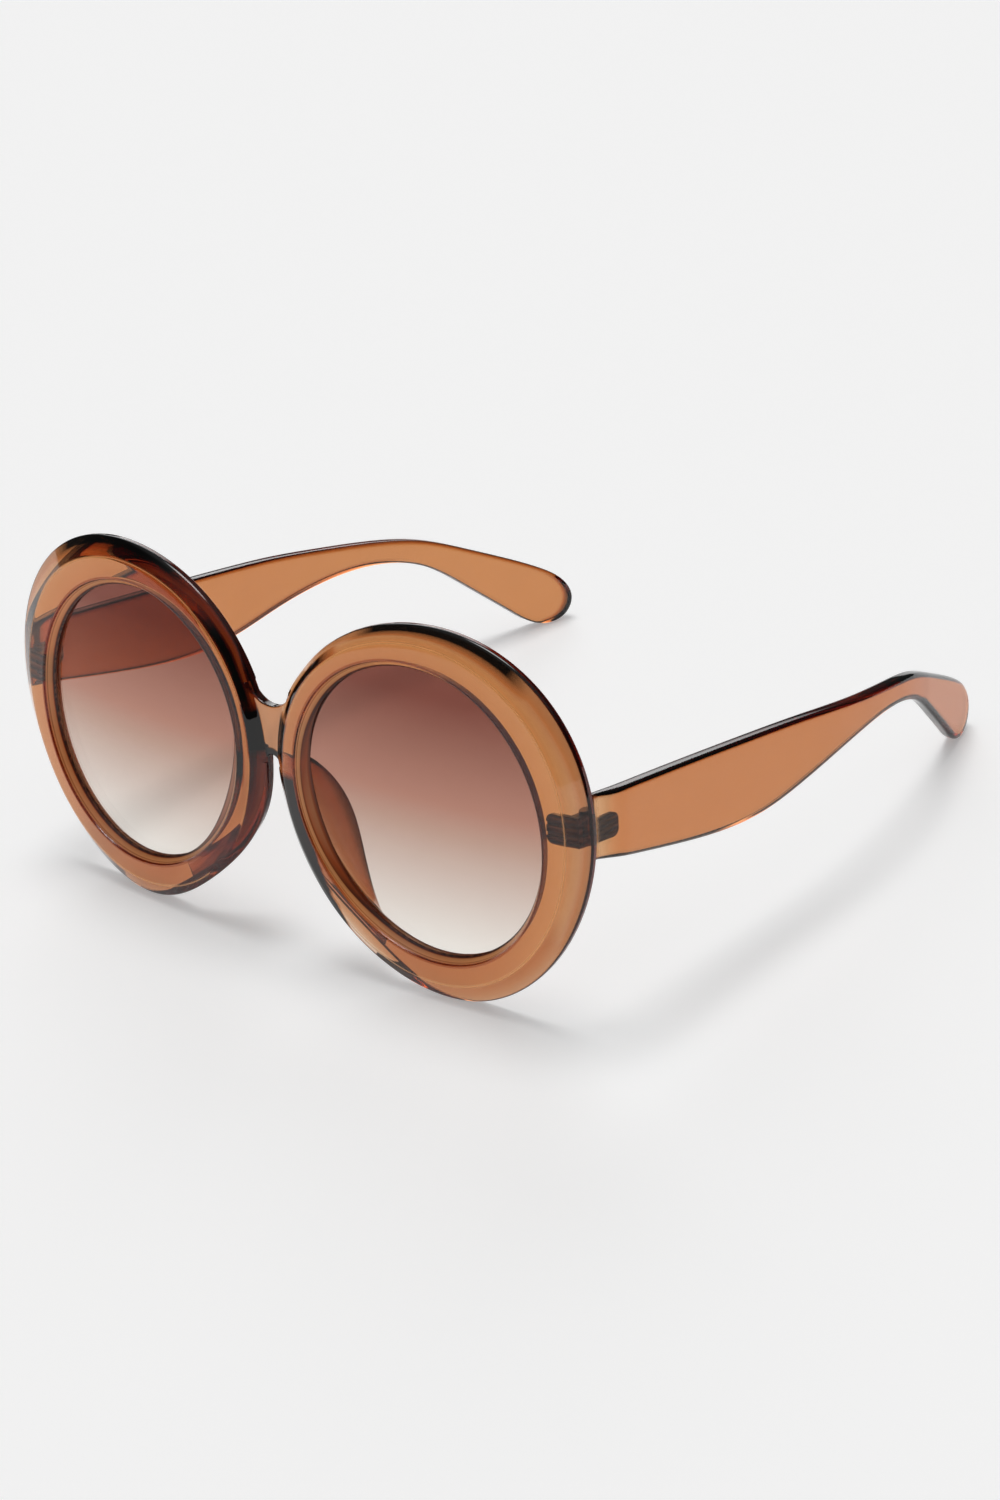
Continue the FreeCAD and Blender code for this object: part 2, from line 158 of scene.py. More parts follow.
# How finely the other pieces are drawn: degrees between a lens's spokes, sections along a pad and a temple,
# and points round a pad's corners, round a temple's edges and down its faces
LENS_STEP = 2.0
PAD_SECTIONS, TEMPLE_SECTIONS = 73, 221
PAD_CORNER_POINTS, TEMPLE_EDGE_POINTS, TEMPLE_FACE_POINTS = 9, 8, 7

# Finishes: scales of their noise, in waves a metre, and how much it changes their roughness
SPECK_SCALE, CLOUD_SCALE, CLOUD_ROUGHNESS = 1300.0, 160.0, 0.02
SMEAR_SCALE, SMEAR_ROUGHNESS = 90.0, 0.01
BRUSH_SCALE, TARNISH_SCALE, TARNISH_ROUGHNESS = (900.0, 900.0, 5000.0), 600.0, 0.2
FIBRE_SCALE = 60.0

# Heights of the lens's colours from its bottom up, as shares of its height
LENS_STOPS = (0.0, 0.45, 0.55, 0.9)


def length(name, description, millimetres):
    """A size, kept in metres and written here in millimetres."""
    return FloatProperty(
        name=name, description=description, default=millimetres * MM, unit="LENGTH", precision=5,
    )


def angle(name, description, degrees):
    """An angle, kept in radians and written here in degrees."""
    return FloatProperty(
        name=name, description=description, default=math.radians(degrees), unit="ROTATION",
    )


def share(name, description, default):
    """A share from 0 to 1."""
    return FloatProperty(
        name=name, description=description, default=default, min=0.0, max=1.0, subtype="FACTOR",
    )


def number(name, description, default):
    """A plain number from 0 up."""
    return FloatProperty(name=name, description=description, default=default, min=0.0)


def swell_sizes(name, description, *millimetres):
    """The four terms of a swell, kept in metres and written here in millimetres."""
    return FloatVectorProperty(
        name=name, description=description, default=[size * MM for size in millimetres], size=4,
        unit="LENGTH", precision=5,
    )


def colour(name, description, red, green, blue):
    """A colour as linear light."""
    return FloatVectorProperty(
        name=name, description=description, default=(red, green, blue), size=3,
        min=0.0, max=1.0, subtype="COLOR",
    )


class RimSizes(PropertyGroup):
    """Sizes of the two rims."""

    opening_radius: length("Opening radius", "Mean radius of the lens opening at its front edge", 29.5)
    opening_swell: swell_sizes("Opening swell", "Oval, its lean, triangle and its lean", 0.3, -0.7, -0.3, 0.2)
    bridge_gap: length("Bridge gap", "Distance between the two openings", 17.0)
    rim_width: length("Rim width", "Mean width from the opening to the outer edge", 7.85)
    rim_swell: swell_sizes("Rim swell", "The same of the outer outline", 0.3, 0.5, -0.3, 0.8)
    shift_out: length("Shift out", "Outer outline moved towards the temple", 1.7)
    shift_up: length("Shift up", "Outer outline moved up", -0.15)
    depth: length("Depth", "Front edge of the opening to the back face", 4.5)
    wall: length("Wall", "Straight outer wall behind the bevel", 1.5)
    crease_width: length("Crease width", "Opening to the crease between face and bevel", 4.25)
    crease_drop: length("Crease drop", "How far the crease lies behind the opening's edge", 0.6)
    crease_softness: length("Crease softness", "Half width over which the crease turns", 0.5)
    wrap_angle: angle("Wrap angle", "Each rim turned back towards its temple", 3.9)
    nose_relief: length("Nose relief", "Rim narrowed beside the nose by this much at most", 2.6)
    nose_splay: length("Nose splay", "Outer wall leaning towards the lens beside the nose", 2.6)
    nose_angle: angle("Nose angle", "Middle of the relief, round the rim from the temple side", 238.0)
    nose_half_angle: angle("Nose half angle", "Half of the relief's spread", 52.0)
    nose_bevel_drop: length("Nose bevel drop", "Depth of the bevel that is left there", 0.1)
    opening_round: length("Opening round", "Roundness of the opening's front edge", 0.25)
    front_round: length("Front round", "Roundness of the bevel's outer edge", 0.4)
    back_round: length("Back round", "Roundness of the outer back edge", 0.45)
    inner_round: length("Inner round", "Roundness of the opening's back edge", 0.25)
    bridge_top: length("Bridge top", "Valley of the bridge above the lens centres", 12.4)
    bridge_bottom: length("Bridge bottom", "Nose arch above the lens centres", 2.4)
    bridge_set_back: length("Bridge set back", "Bridge face behind the creases", 1.7)
    leaf_proud: length("Leaf proud", "Hinge leaves standing out of the plastic", 0.03)


class LensSizes(PropertyGroup):
    """Sizes of the lenses and of the grooves that hold them."""

    thickness: length("Thickness", "Thickness of the lens", 1.6)
    curve_radius: length("Curve radius", "Radius of the lens's front", 240.0)
    recess: length("Recess", "Opening edge back to the edge of the lens", 2.1)
    step: length("Step", "How far the slanted wall narrows the opening", 1.35)
    groove_depth: length("Groove depth", "Depth of the groove round the lens", 0.8)
    clearance: length("Clearance", "Room between lens and groove", 0.05)
    back_flare: length("Back flare", "How much the opening widens behind the lens", 0.4)
    lip_cover: length("Lip cover", "Front lip reaching further over the lens beside the nose", 1.9)
    lip_angle: angle("Lip angle", "Middle of that stretch, round the rim from the temple side", 195.0)
    lip_half_angle: angle("Lip half angle", "Half of its spread", 55.0)


class PadSizes(PropertyGroup):
    """Sizes of the nose pads."""

    start_angle: angle("Start angle", "Upper end, round the rim from the temple side", 174.0)
    end_angle: angle("End angle", "Lower end", 246.0)
    set_in: length("Set in", "Seat inside the edge of the rim's back face", 0.2)
    seat_width: length("Seat width", "Width of the pad where it meets the rim", 3.6)
    reach: length("Reach", "How far the ridge stands behind the rim", 6.2)
    ridge_out: length("Ridge out", "Ends of the ridge outside the opening's edge", 2.7)
    lean: length("Lean", "Middle of the ridge moved from there towards the lens", 6.0)
    ridge_width: length("Ridge width", "Width of the ridge", 1.8)
    root: share("Root", "Share of the reach that is left at both ends", 0.08)
    skew: share("Skew", "Below 1 the ridge is highest near its upper end", 0.68)
    softness: share("Softness", "Share of each side of the section that is rounded off", 0.46)
    bond_gap: length("Bond gap", "Film of cement between pad and rim", 0.02)


class TempleSizes(PropertyGroup):
    """Sizes of the temples and of their hinges."""

    hinge_height: length("Hinge height", "Middle of the hinge above the lens centres", 3.2)
    hinge_offset: length("Hinge offset", "Hinge axis to the temple's inner face", 1.65)
    overhang: length("Overhang", "Outer face of the temple outside the rim", 0.7)
    thickness: length("Thickness", "Thickness of the temple", 3.4)
    toe_in: angle("Toe in", "Temple turned inwards", 1.4)
    straight: length("Straight", "Hinge axis to the start of the inward bend", 60.0)
    bend_radius: length("Bend radius", "Radius of the bend at the inner face", 141.0)
    bend_turn: angle("Bend turn", "Angle of the bend", 19.8)
    end_gap: length("End gap", "Open temple to the back of the rim that stops it", 0.2)
    front_top: length("Front top", "Top of the butt end above the hinge middle", 7.3)
    front_bottom: length("Front bottom", "Bottom of the butt end from the hinge middle", -5.4)
    butt_taper: length("Butt taper", "Outer face set in at the butt end", 1.4)
    butt_reach: length("Butt reach", "Butt end to where the outer face is whole again", 8.0)
    edge_round: length("Edge round", "Roundness of the temple's long edges", 1.15)


class Finishes(PropertyGroup):
    """Colours and finishes of the materials."""

    amber: colour("Amber", "Light that passes through a millimetre of the plastic", 0.893, 0.695, 0.510)
    amber_density: number("Amber density", "Absorption of the plastic, per metre", 700.0)
    front_density: number("Front density", "Times the temples' absorption in the front", 0.76)
    pad_density: number("Pad density", "Times the temples' absorption in the nose pads", 0.8)
    clouds: colour("Clouds", "Light that passes the faint clouds in its surface", 0.90, 0.88, 0.86)
    polish: share("Polish", "Least roughness of the polished plastic", 0.012)
    satin: share("Satin", "Least roughness of the nose pads", 0.10)
    # Colours of the painted shade, half and whole, as the light that passes the plastic there
    haze: colour("Haze", "Light that passes a half smoky face of the plastic", 0.71, 0.45, 0.30)
    smoke: colour("Smoke", "Light that passes its smoky edges", 0.008, 0.007, 0.007)
    # Frost and dull scatter of the unpolished groove and wall, and of the crease, where they make a painted
    # highlight
    frost: share("Frost", "Roughness of the unpolished wall round a lens", 0.35)
    dullness: share("Dullness", "Share of the light that this wall scatters", 0.7)
    dull: colour("Dull", "Colour of the light it scatters", 1.0, 0.47, 0.18)
    plastic_ior: number("Plastic IOR", "Refraction of the plastic", 1.49)
    lens_ior: number("Lens IOR", "Refraction of the coated lens", 1.25)
    lens_top: colour("Lens top", "Light that passes the top of a lens", 0.22, 0.065, 0.045)
    lens_upper: colour("Lens upper", "Light that passes a little above its middle", 0.485, 0.24, 0.178)
    lens_middle: colour("Lens middle", "Light that passes its middle", 0.55, 0.357, 0.283)
    lens_bottom: colour("Lens bottom", "Light that passes its bottom", 0.98, 0.96, 0.90)
    groove_scale: number("Groove scale", "Stamped grooves of the hinge leaves, as a wave's scale", 190.0)
    metal: colour("Metal", "Colour of the hinge leaves and screws", 0.50, 0.46, 0.42)
    # Painted shade in the stamped grooves of the metal
    metal_low: colour("Metal low", "Colour in their grooves", 0.10, 0.092, 0.084)
    metal_polish: share("Metal polish", "Least roughness of the metal", 0.28)
    groove_height: length("Groove height", "Height of the stamped grooves", 0.3)


class StudioSettings(PropertyGroup):
    """Camera, floor and light."""

    aim: FloatVectorProperty(
        name="Aim", description="Point in the middle of the picture", subtype="XYZ", unit="LENGTH",
        default=(30.8046 * MM, -37.7108 * MM, 35.4303 * MM), size=3, precision=5,
    )
    distance: length("Distance", "Camera to the aim", 883.1728)
    heading: angle("Heading", "Camera turned from the front towards the wearer's left", 45.8912)
    dip: angle("Dip", "Camera looking down", 25.7351)
    roll: angle("Roll", "Camera turned about its own line of sight", -7.1922)
    focal_length: number("Focal length", "In millimetres, on a 36 mm long side", 111.589)
    floor_reach: length("Floor reach", "Half width of the floor", 20000.0)
    floor_colour: colour("Floor colour", "Pale floor", 0.80, 0.80, 0.80)
    floor_fibres: colour("Floor fibres", "Its faint fibres", 0.796, 0.796, 0.796)
    floor_glow: number("Floor glow", "Light from below the floor", 0.325)
    room_light: number("Room light", "Light from the room's walls", 0.05)
    overhead_light: number("Overhead light", "Light from the sky panel", 0.35)
    panel_height: number("Panel height", "Sine of the height where the sky panel starts", 0.75)
    panel_softness: number("Panel softness", "Spread of the sky panel's edge, as that sine", 0.15)
    back_heading: angle("Back heading", "Round panels, from straight back to the wearer's right", 46.0)
    back_light: number("Back light", "Light from the panel behind", 2.5)
    back_height: angle("Back height", "Height of its middle", 26.0)
    back_inner: angle("Back inner", "Half width where its edge starts to fade", 12.0)
    back_outer: angle("Back outer", "Half width where its edge ends", 20.0)
    key_light: number("Key light", "Light from the panel high up behind", 8.5)
    key_height: angle("Key height", "Height of its middle", 78.0)
    key_inner: angle("Key inner", "Half width where its edge starts to fade", 5.0)
    key_outer: angle("Key outer", "Half width where its edge ends", 18.0)


class SunglassesSettings(PropertyGroup):
    """All settings of the sunglasses."""

    rim: PointerProperty(name="Rims", description="Sizes of the rims", type=RimSizes)
    lens: PointerProperty(name="Lenses", description="Sizes of the lenses", type=LensSizes)
    pad: PointerProperty(name="Nose pads", description="Sizes of the nose pads", type=PadSizes)
    temple: PointerProperty(name="Temples", description="Sizes of the temples", type=TempleSizes)
    finish: PointerProperty(name="Finishes", description="Colours and finishes", type=Finishes)
    studio: PointerProperty(name="Studio", description="Camera, floor and light", type=StudioSettings)


def settings():
    """The scene's settings."""
    return bpy.context.scene.sunglasses


# Outlines of the rim, as arrays of (across, height) in the rim's own face


def swell(terms, turn):
    """Departure from a circle: the terms times cosine and sine of two and three times the angle."""
    return (
        terms[0] * np.cos(2 * turn) + terms[1] * np.sin(2 * turn)
        + terms[2] * np.cos(3 * turn) + terms[3] * np.sin(3 * turn)
    )


def hump(turn, middle, half_width):
    """A squared cosine about its middle, and 0 past its ends."""
    offset = np.clip((turn - middle) / half_width, -1, 1)
    return np.cos(np.pi / 2 * offset) ** 2


def lens_centre(rim):
    """Distance of a lens centre from the middle of the front."""
    return rim.opening_radius + rim.bridge_gap / 2


def nose_share(rim, turn):
    """Share of the relief beside the nose."""
    return hump(turn, rim.nose_angle, rim.nose_half_angle)


def cover_share(lens, turn):
    """Share of the front lip's wider stretch."""
    return hump(turn, lens.lip_angle, lens.lip_half_angle)


def opening_outline(rim, turn, grow):
    """Opening grown by a distance: a circle plus its swell."""
    radius = rim.opening_radius + grow + swell(rim.opening_swell, turn)
    return radius * np.cos(turn), radius * np.sin(turn)


def outer_outline(rim, turn, relief):
    """Outer outline: a shifted circle plus its swell, less the relief beside the nose."""
    radius = rim.opening_radius + rim.rim_width + swell(rim.rim_swell, turn)
    radius = radius - relief * nose_share(rim, turn)
    return rim.shift_out + radius * np.cos(turn), rim.shift_up + radius * np.sin(turn)


def crease_outline(rim, turn):
    """Crease: halfway between the opening's and the outer outline's swell and shift."""
    terms = [(inner + outer) / 2 for inner, outer in zip(rim.opening_swell, rim.rim_swell)]
    radius = rim.opening_radius + rim.crease_width + swell(terms, turn)
    return rim.shift_out / 2 + radius * np.cos(turn), rim.shift_up / 2 + radius * np.sin(turn)


def rim_place(rim, across, depth, height):
    """Upright X, Y and Z of points given across the rim's face, into it and up."""
    x = lens_centre(rim) + across * np.cos(rim.wrap_angle) - depth * np.sin(rim.wrap_angle)
    y = across * np.sin(rim.wrap_angle) + depth * np.cos(rim.wrap_angle)
    return np.stack(np.broadcast_arrays(x, y, height), axis=-1)


def radius_at(rim, turn, outline, depth):
    """Radius about the lens centre, seen from the front, of an outline at a depth of the rim."""
    across, height = outline
    sideways = across * np.cos(rim.wrap_angle) - depth * np.sin(rim.wrap_angle)
    bearing = np.arctan2(height, sideways)
    return np.interp(turn, bearing, np.hypot(sideways, height), period=2 * np.pi)


def lens_sag(lens, radius, surface_radius):
    """Depth of a lens surface behind the front's apex, a sphere's sagitta."""
    return lens.curve_radius - np.sqrt(surface_radius ** 2 - radius ** 2)


def lens_apex(rim, lens):
    """Depth of the lens's apex in the rim."""
    return lens.recess - lens_sag(lens, rim.opening_radius - lens.step, lens.curve_radius)


def hinge_axis(s):
    """Upright place of the left hinge axis, inside the temple's inner face."""
    rim, temple = s.rim, s.temple
    depth = rim.depth + temple.hinge_offset
    side = rim_place(rim, outer_outline(rim, 0.0, rim.nose_relief)[0], rim.depth, 0.0)[0]
    wanted = side + temple.overhang - temple.thickness - temple.hinge_offset
    across = (wanted - lens_centre(rim) + depth * np.sin(rim.wrap_angle)) / np.cos(rim.wrap_angle)
    return rim_place(rim, across, depth, temple.hinge_height)


def stand(s, points):
    """Upright points tipped back and set down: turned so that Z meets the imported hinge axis."""
    joint = JOINTS["left_temple_fold"]
    lean_sine, lean_cosine = joint["axis"][1], joint["axis"][2]
    turn = np.array([[1, 0, 0], [0, lean_cosine, lean_sine], [0, -lean_sine, lean_cosine]])
    return (points - hinge_axis(s)) @ turn.T + np.array(joint["pos_m"])


# Shapes of edges


def smooth_step(value, start, end):
    """0 before start, 1 after end, and 3t squared less 2t cubed between."""
    t = np.clip((value - start) / (end - start), 0, 1)
    return t * t * (3 - 2 * t)


def fade(value, start, end):
    """1 before start and 0 after end."""
    return 1 - smooth_step(value, start, end)


def window(value, start, full, still, end):
    """0 up to start, 1 from full on to still, and 0 again past end."""
    return smooth_step(value, start, full) * fade(value, still, end)


def soft_ramp(value, half_width):
    """0 below the turn, the value itself above it, and a parabola within the half width."""
    half_width = np.maximum(half_width, 1e-9)
    near = np.clip(value + half_width, 0, 2 * half_width) ** 2 / (4 * half_width)
    return near + np.maximum(value - half_width, 0)


def quarter_round(distance, radius):
    """Drop of a quarter-round edge at a distance from it: the radius less the circle's height."""
    inside = np.clip(radius - distance, 0, radius)
    return radius - np.sqrt(radius ** 2 - inside ** 2)


def rounded_corners(corners, softness, steps):
    """Closed sections (n, corners, 2) with each corner a parabola between its two sides."""
    before = corners + softness * (np.roll(corners, 1, axis=1) - corners)
    after = corners + softness * (np.roll(corners, -1, axis=1) - corners)
    t = np.linspace(0, 1, steps)[None, None, :, None]
    bend = (
        (1 - t) ** 2 * before[:, :, None] + 2 * t * (1 - t) * corners[:, :, None]
        + t ** 2 * after[:, :, None]
    )
    return bend.reshape(len(corners), -1, 2)


def through_points(points, at):
    """Smooth curve through points at places counted in points, and its direction there.

    The curve is a cubic spline over the length along the points, free at both ends.
    """
    points = np.asarray(points, float)
    step = np.hypot(*np.diff(points, axis=0).T)
    knots = np.concatenate([[0], np.cumsum(step)])
    count = len(points)
    matrix = np.eye(count)
    inner = np.arange(1, count - 1)
    matrix[inner, inner - 1] = step[:-1]
    matrix[inner, inner] = 2 * (step[:-1] + step[1:])
    matrix[inner, inner + 1] = step[1:]
    slope = np.diff(points, axis=0) / step[:, None]
    right = np.zeros_like(points)
    right[1:-1] = 6 * np.diff(slope, axis=0)
    bend = np.linalg.solve(matrix, right)
    u = np.interp(at, np.arange(count), knots)
    k = np.clip(np.searchsorted(knots, u, side="right") - 1, 0, count - 2)
    h, x = step[k][:, None], (u - knots[k])[:, None]
    first = slope[k] - h * (2 * bend[k] + bend[k + 1]) / 6
    third = (bend[k + 1] - bend[k]) / (6 * h)
    place = points[k] + x * first + x ** 2 * bend[k] / 2 + x ** 3 * third
    direction = first + x * bend[k] + 3 * x ** 2 * third
    return place, direction / np.hypot(*direction.T)[:, None]


# Meshes


def grid_faces(rows, columns, close_rows, close_columns):
    """Quads of a grid of points counted row by row, closed round either way."""
    row = np.arange(rows if close_rows else rows - 1)[:, None]
    column = np.arange(columns if close_columns else columns - 1)[None, :]
    next_row, next_column = (row + 1) % rows, (column + 1) % columns
    corners = (
        row * columns + column, row * columns + next_column,
        next_row * columns + next_column, next_row * columns + column,
    )
    return np.stack(np.broadcast_arrays(*corners), axis=-1).reshape(-1, 4)


def mirrored(points):
    """Points of the other side of the pair."""
    return points * np.array([-1, 1, 1])


def make_piece(name, points, faces, body, material, nodes, smoke=None, frost=None):
    """A closed mesh piece from upright points and faces, set down, welded, facing outwards, on its body.

    Painted shade and frost, where they are given, are how dark the plastic is painted and how dull it is at
    each point; along the front's crease the frost makes a painted highlight.
    """
    mesh = bpy.data.meshes.new(name)
    mesh.from_pydata(stand(settings(), points.reshape(-1, 3)).tolist(), [], faces)
    for paint, values in (("smoke", smoke), ("frost", frost)):
        if values is not None:
            mesh.attributes.new(paint, "FLOAT", "POINT").data.foreach_set("value", values.ravel())
    shape = bmesh.new()
    shape.from_mesh(mesh)
    bmesh.ops.remove_doubles(shape, verts=shape.verts, dist=WELD)
    bmesh.ops.dissolve_degenerate(shape, edges=shape.edges, dist=WELD / 2)
    bmesh.ops.recalc_face_normals(shape, faces=shape.faces)
    if shape.calc_volume(signed=True) < 0:
        bmesh.ops.reverse_faces(shape, faces=shape.faces)
    if any(not edge.is_manifold for edge in shape.edges):
        raise ValueError(name + " isn't a closed surface")
    shape.to_mesh(mesh)
    shape.free()
    mesh.shade_smooth()
    mesh.set_sharp_from_angle(angle=SHARP_ANGLE)
    mesh.materials.append(material)
    piece = bpy.data.objects.new(name, mesh)
    bpy.context.scene.collection.objects.link(piece)
    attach(piece, body)
    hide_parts(*nodes)


def make_pair(name, left, faces, body, material, node, smoke=None, frost=None):
    """A piece of the left side and its mirror image, where {} in a name stands for the side."""
    for side, points in (("left", left), ("right", mirrored(left))):
        make_piece(
            name.format(side), points, faces, body.format(side), material, [node.format(side)],
            smoke, frost,
        )


# Front


def bridge_arc(rim, middle, side):
    """Arc on X = 0 that touches both rims: its radius, the height of its centre and its end's bearing.

    The rim counts as a circle, and the arc's circle touches it from outside.
    """
    rim_x = lens_centre(rim) + rim.shift_out
    rim_radius = rim.opening_radius + rim.rim_width + rim.rim_swell[0]
    rise = side * (middle - rim.shift_up)
    radius = (rise ** 2 + rim_x ** 2 - rim_radius ** 2) / (2 * (rim_radius - rise))
    height = middle + side * radius
    part = radius / (radius + rim_radius)
    touch_x, touch_z = rim_x * part, height + (rim.shift_up - height) * part
    return radius, height, math.atan2(touch_z, touch_x - lens_centre(rim)) % (2 * math.pi)


def front_turns(rim):
    """Angles about the lens centre at which the front's section is drawn, closer at the bridge."""
    centre = lens_centre(rim)
    corner_top = math.atan2(rim.bridge_top, -centre)
    corner_low = math.atan2(rim.bridge_bottom, -centre)
    turns = [
        np.radians(np.arange(0, 360, RIM_STEP)), np.radians(np.arange(*BRIDGE_SPAN, BRIDGE_STEP)),
        corner_top + CORNER_STEPS, corner_low - CORNER_STEPS,
        [bridge_arc(rim, rim.bridge_top, 1)[2], bridge_arc(rim, rim.bridge_bottom, -1)[2]],
    ]
    # Rounding merges equal angles, and the two corners then get their exact values back
    turns = np.unique(np.round(np.concatenate(turns) % (2 * np.pi), ANGLE_DIGITS))
    for corner in (corner_top, corner_low):
        turns = np.where(np.abs(turns - corner) < ANGLE_MATCH, corner, turns)
    return turns, corner_top, corner_low


def face_smoke(degrees, across_face, across_bevel, side):
    """Painted shade of a rim's face and bevel: the darkest of its stretches by angle and place across."""
    nose = NOSE_PAINTED_SHADE[side]
    taper_start, taper_end = nose["taper"]
    inner = NOSE_TAPER * np.clip((degrees - taper_start) / (taper_end - taper_start), 0, 1)
    nose_band = (inner, inner + NOSE_INNER_FADE, nose["reach"], nose["reach"] + NOSE_OUTER_FADE)
    temple_side = smooth_step(np.cos(np.radians(degrees - SHADE_MIDDLE)), *SHADE_RISE)
    over_top = smooth_step(np.cos(np.radians(degrees - OVER_TOP_MIDDLE)), *OVER_TOP_RISE)
    start, end = (plain + (top - plain) * over_top for plain, top in zip(SHADE_BAND, OVER_TOP_BAND))
    shade = CREASE_SHADE + EDGE_SHADE * smooth_step(across_bevel, start, end)
    low_side = LOW_PAINTED_SHADE * window(degrees, *LOW_STRETCH)
    return np.max(np.broadcast_arrays(
        window(degrees, *TOP_STRETCH) * smooth_step(across_bevel, *TOP_BAND),
        window(degrees, *STREAK_STRETCH) * window(across_bevel, *STREAK_BAND),
        window(degrees, *BRIDGE_STRETCH) * smooth_step(across_bevel, *BRIDGE_BAND),
        window(degrees, *nose["stretch"]) * window(across_face, *nose_band),
        np.maximum(temple_side * shade, low_side) * smooth_step(across_bevel, *BEVEL_START),
    ), axis=0)


def face_haze(degrees):
    """Painted shade of a rim's face by angle: a cosine about its mean, and more low down."""
    swing = FACE_PAINTED_SHADE_SWING * np.cos(np.radians(degrees - FACE_PAINTED_SHADE_CLEAREST))
    return FACE_PAINTED_SHADE_MEAN - swing + LOW_FACE_PAINTED_SHADE * window(degrees, *LOW_FACE_PAINTED_SHADE_STRETCH)


def front_points(s, side):
    """Half of the front as points (angle about the lens, place round the section), upright.

    A point at radius r and angle a lies at X = centre + r cos a and Z = r sin a. Its depth in the
    rim is a sum of straight slopes with soft turns between them, and a quarter-round drop at each
    edge. Round the section the points go over the front face, the bevel and the bridge, down the
    outer wall, back over the rear face and through the lens groove. Between the rims the section
    is carried on to X = 0, where its other half meets it. With the points come their painted shade,
    for the rim of the given side, and their frost, which holds a painted highlight along the crease.
    """
    rim, lens = s.rim, s.lens
    turn, corner_top, corner_low = front_turns(rim)
    centre, wrap = lens_centre(rim), rim.wrap_angle
    cosine, sine = np.cos(turn), np.sin(turn)
    col = (slice(None), None)

    def opening_at(grow, depth):
        """Radius of the opening grown by a distance, at a depth."""
        return radius_at(rim, turn, opening_outline(rim, DENSE, grow), depth)

    # Radii of the lines that the section follows
    outer = outer_outline(rim, DENSE, rim.nose_relief)
    part = nose_share(rim, DENSE)
    foot_dense = (rim.depth - rim.wall) * (1 - part) + (rim.crease_drop + rim.nose_bevel_drop) * part
    bearing = np.arctan2(outer[1], outer[0] * np.cos(wrap) - foot_dense * np.sin(wrap))
    foot_depth = np.interp(turn, bearing, foot_dense, period=2 * np.pi)
    r_foot = radius_at(rim, turn, outer, foot_dense)
    r_open = opening_at(0.0, 0.0)
    r_crease = radius_at(rim, turn, crease_outline(rim, DENSE), rim.crease_drop)
    r_rear = radius_at(rim, turn, outer_outline(rim, DENSE, rim.nose_relief + rim.nose_splay), rim.depth)
    lip, floor = -lens.step, lens.groove_depth - lens.step
    cover = lip - lens.lip_cover * cover_share(lens, DENSE)

    # Bridge: the valley, the plane X = 0 and the arch, as radii about the lens centre
    valley_radius, valley_height, valley_end = bridge_arc(rim, rim.bridge_top, 1)
    arch_radius, arch_height, arch_end = bridge_arc(rim, rim.bridge_bottom, -1)

    def arc_radius(radius, height):
        """Where a ray from the lens centre first meets a circle about a point of X = 0."""
        half = centre * cosine - height * sine
        under = half ** 2 - (centre ** 2 + height ** 2 - radius ** 2)
        return -half - np.sqrt(np.maximum(under, 0))

    r_web = np.select(
        [
            (turn > valley_end) & (turn < corner_top), (turn >= corner_top) & (turn <= corner_low),
            (turn > corner_low) & (turn < arch_end),
        ],
        [arc_radius(valley_radius, valley_height), -centre / cosine, arc_radius(arch_radius, arch_height)],
        0.0,
    )
    on_rim = (turn <= valley_end) | (turn >= arch_end)
    crease_nose = crease_outline(rim, np.pi)[0]
    web_y = rim_place(rim, crease_nose, rim.crease_drop + rim.bridge_set_back, 0.0)[1]
    web_foot = (web_y - r_foot * cosine * np.tan(wrap)) * np.cos(wrap)
    rise = smooth_step(turn, valley_end - WEB_SINK, valley_end + WEB_OVERLAP)
    fall = smooth_step(turn, arch_end - WEB_OVERLAP, arch_end + WEB_SINK)
    foot_depth = foot_depth + (web_foot - foot_depth) * rise * (1 - fall)
    web_slope = -cosine * np.sin(wrap)

    def edge_distance(radius, border):
        """Distance from the outer edge: the rim's outline, or the bridge's two arcs."""
        x, z = centre + radius * cosine[col], radius * sine[col]
        arcs = np.minimum(
            np.hypot(x, z - valley_height) - valley_radius, np.hypot(x, z - arch_height) - arch_radius,
        )
        return np.maximum(np.where(on_rim[col], border[col] - radius, arcs), 0)

    def columns(base, reach, shares):
        """Columns of radii at shares of a reach from a base."""
        return base[col] + reach[col] * np.array(shares)[None]

    # Front face, bevel and bridge
    ones = np.ones_like(turn)
    face, bevel = r_crease - r_open, r_foot - r_crease
    border = np.maximum(r_foot, r_web)
    soft = np.minimum(rim.crease_softness, ROUND_LIMIT * bevel)
    edge = np.minimum(rim.front_round, ROUND_LIMIT * bevel)
    front_r = np.concatenate([
        columns(r_open, rim.opening_round * ones, (0, 0.05, 0.2, 0.5, 1, 1.4, 1.8, 2.6, 3.4)),
        columns(r_open, face, (0.35, 0.5, 0.65)),
        columns(r_crease, soft, (-2, -1, -0.5, 0, 0.5, 1, 2)),
        columns(r_crease, bevel, (0.5, 0.65)),
        columns(r_foot, -edge, (1.4, 1, 0.55, 0.25, 0.08, 0)),
        columns(r_foot, border - r_foot, (0.1, 0.25, 0.45, 0.65, 0.8, 0.9, 0.96, 0.99, 1)),
    ], axis=1)
    face_slope = rim.crease_drop / face
    bevel_slope = (foot_depth - rim.crease_drop) / bevel
    fillet = np.minimum(WEB_FILLET, (border - r_foot) / 2)
    front_d = (
        face_slope[col] * (front_r - r_open[col])
        + (bevel_slope - face_slope)[col] * soft_ramp(front_r - r_crease[col], soft[col])
        + (web_slope - bevel_slope)[col] * soft_ramp(front_r - r_foot[col], fillet[col])
        + quarter_round(edge_distance(front_r, border), edge[col])
        + quarter_round(front_r - r_open[col], rim.opening_round)
    )

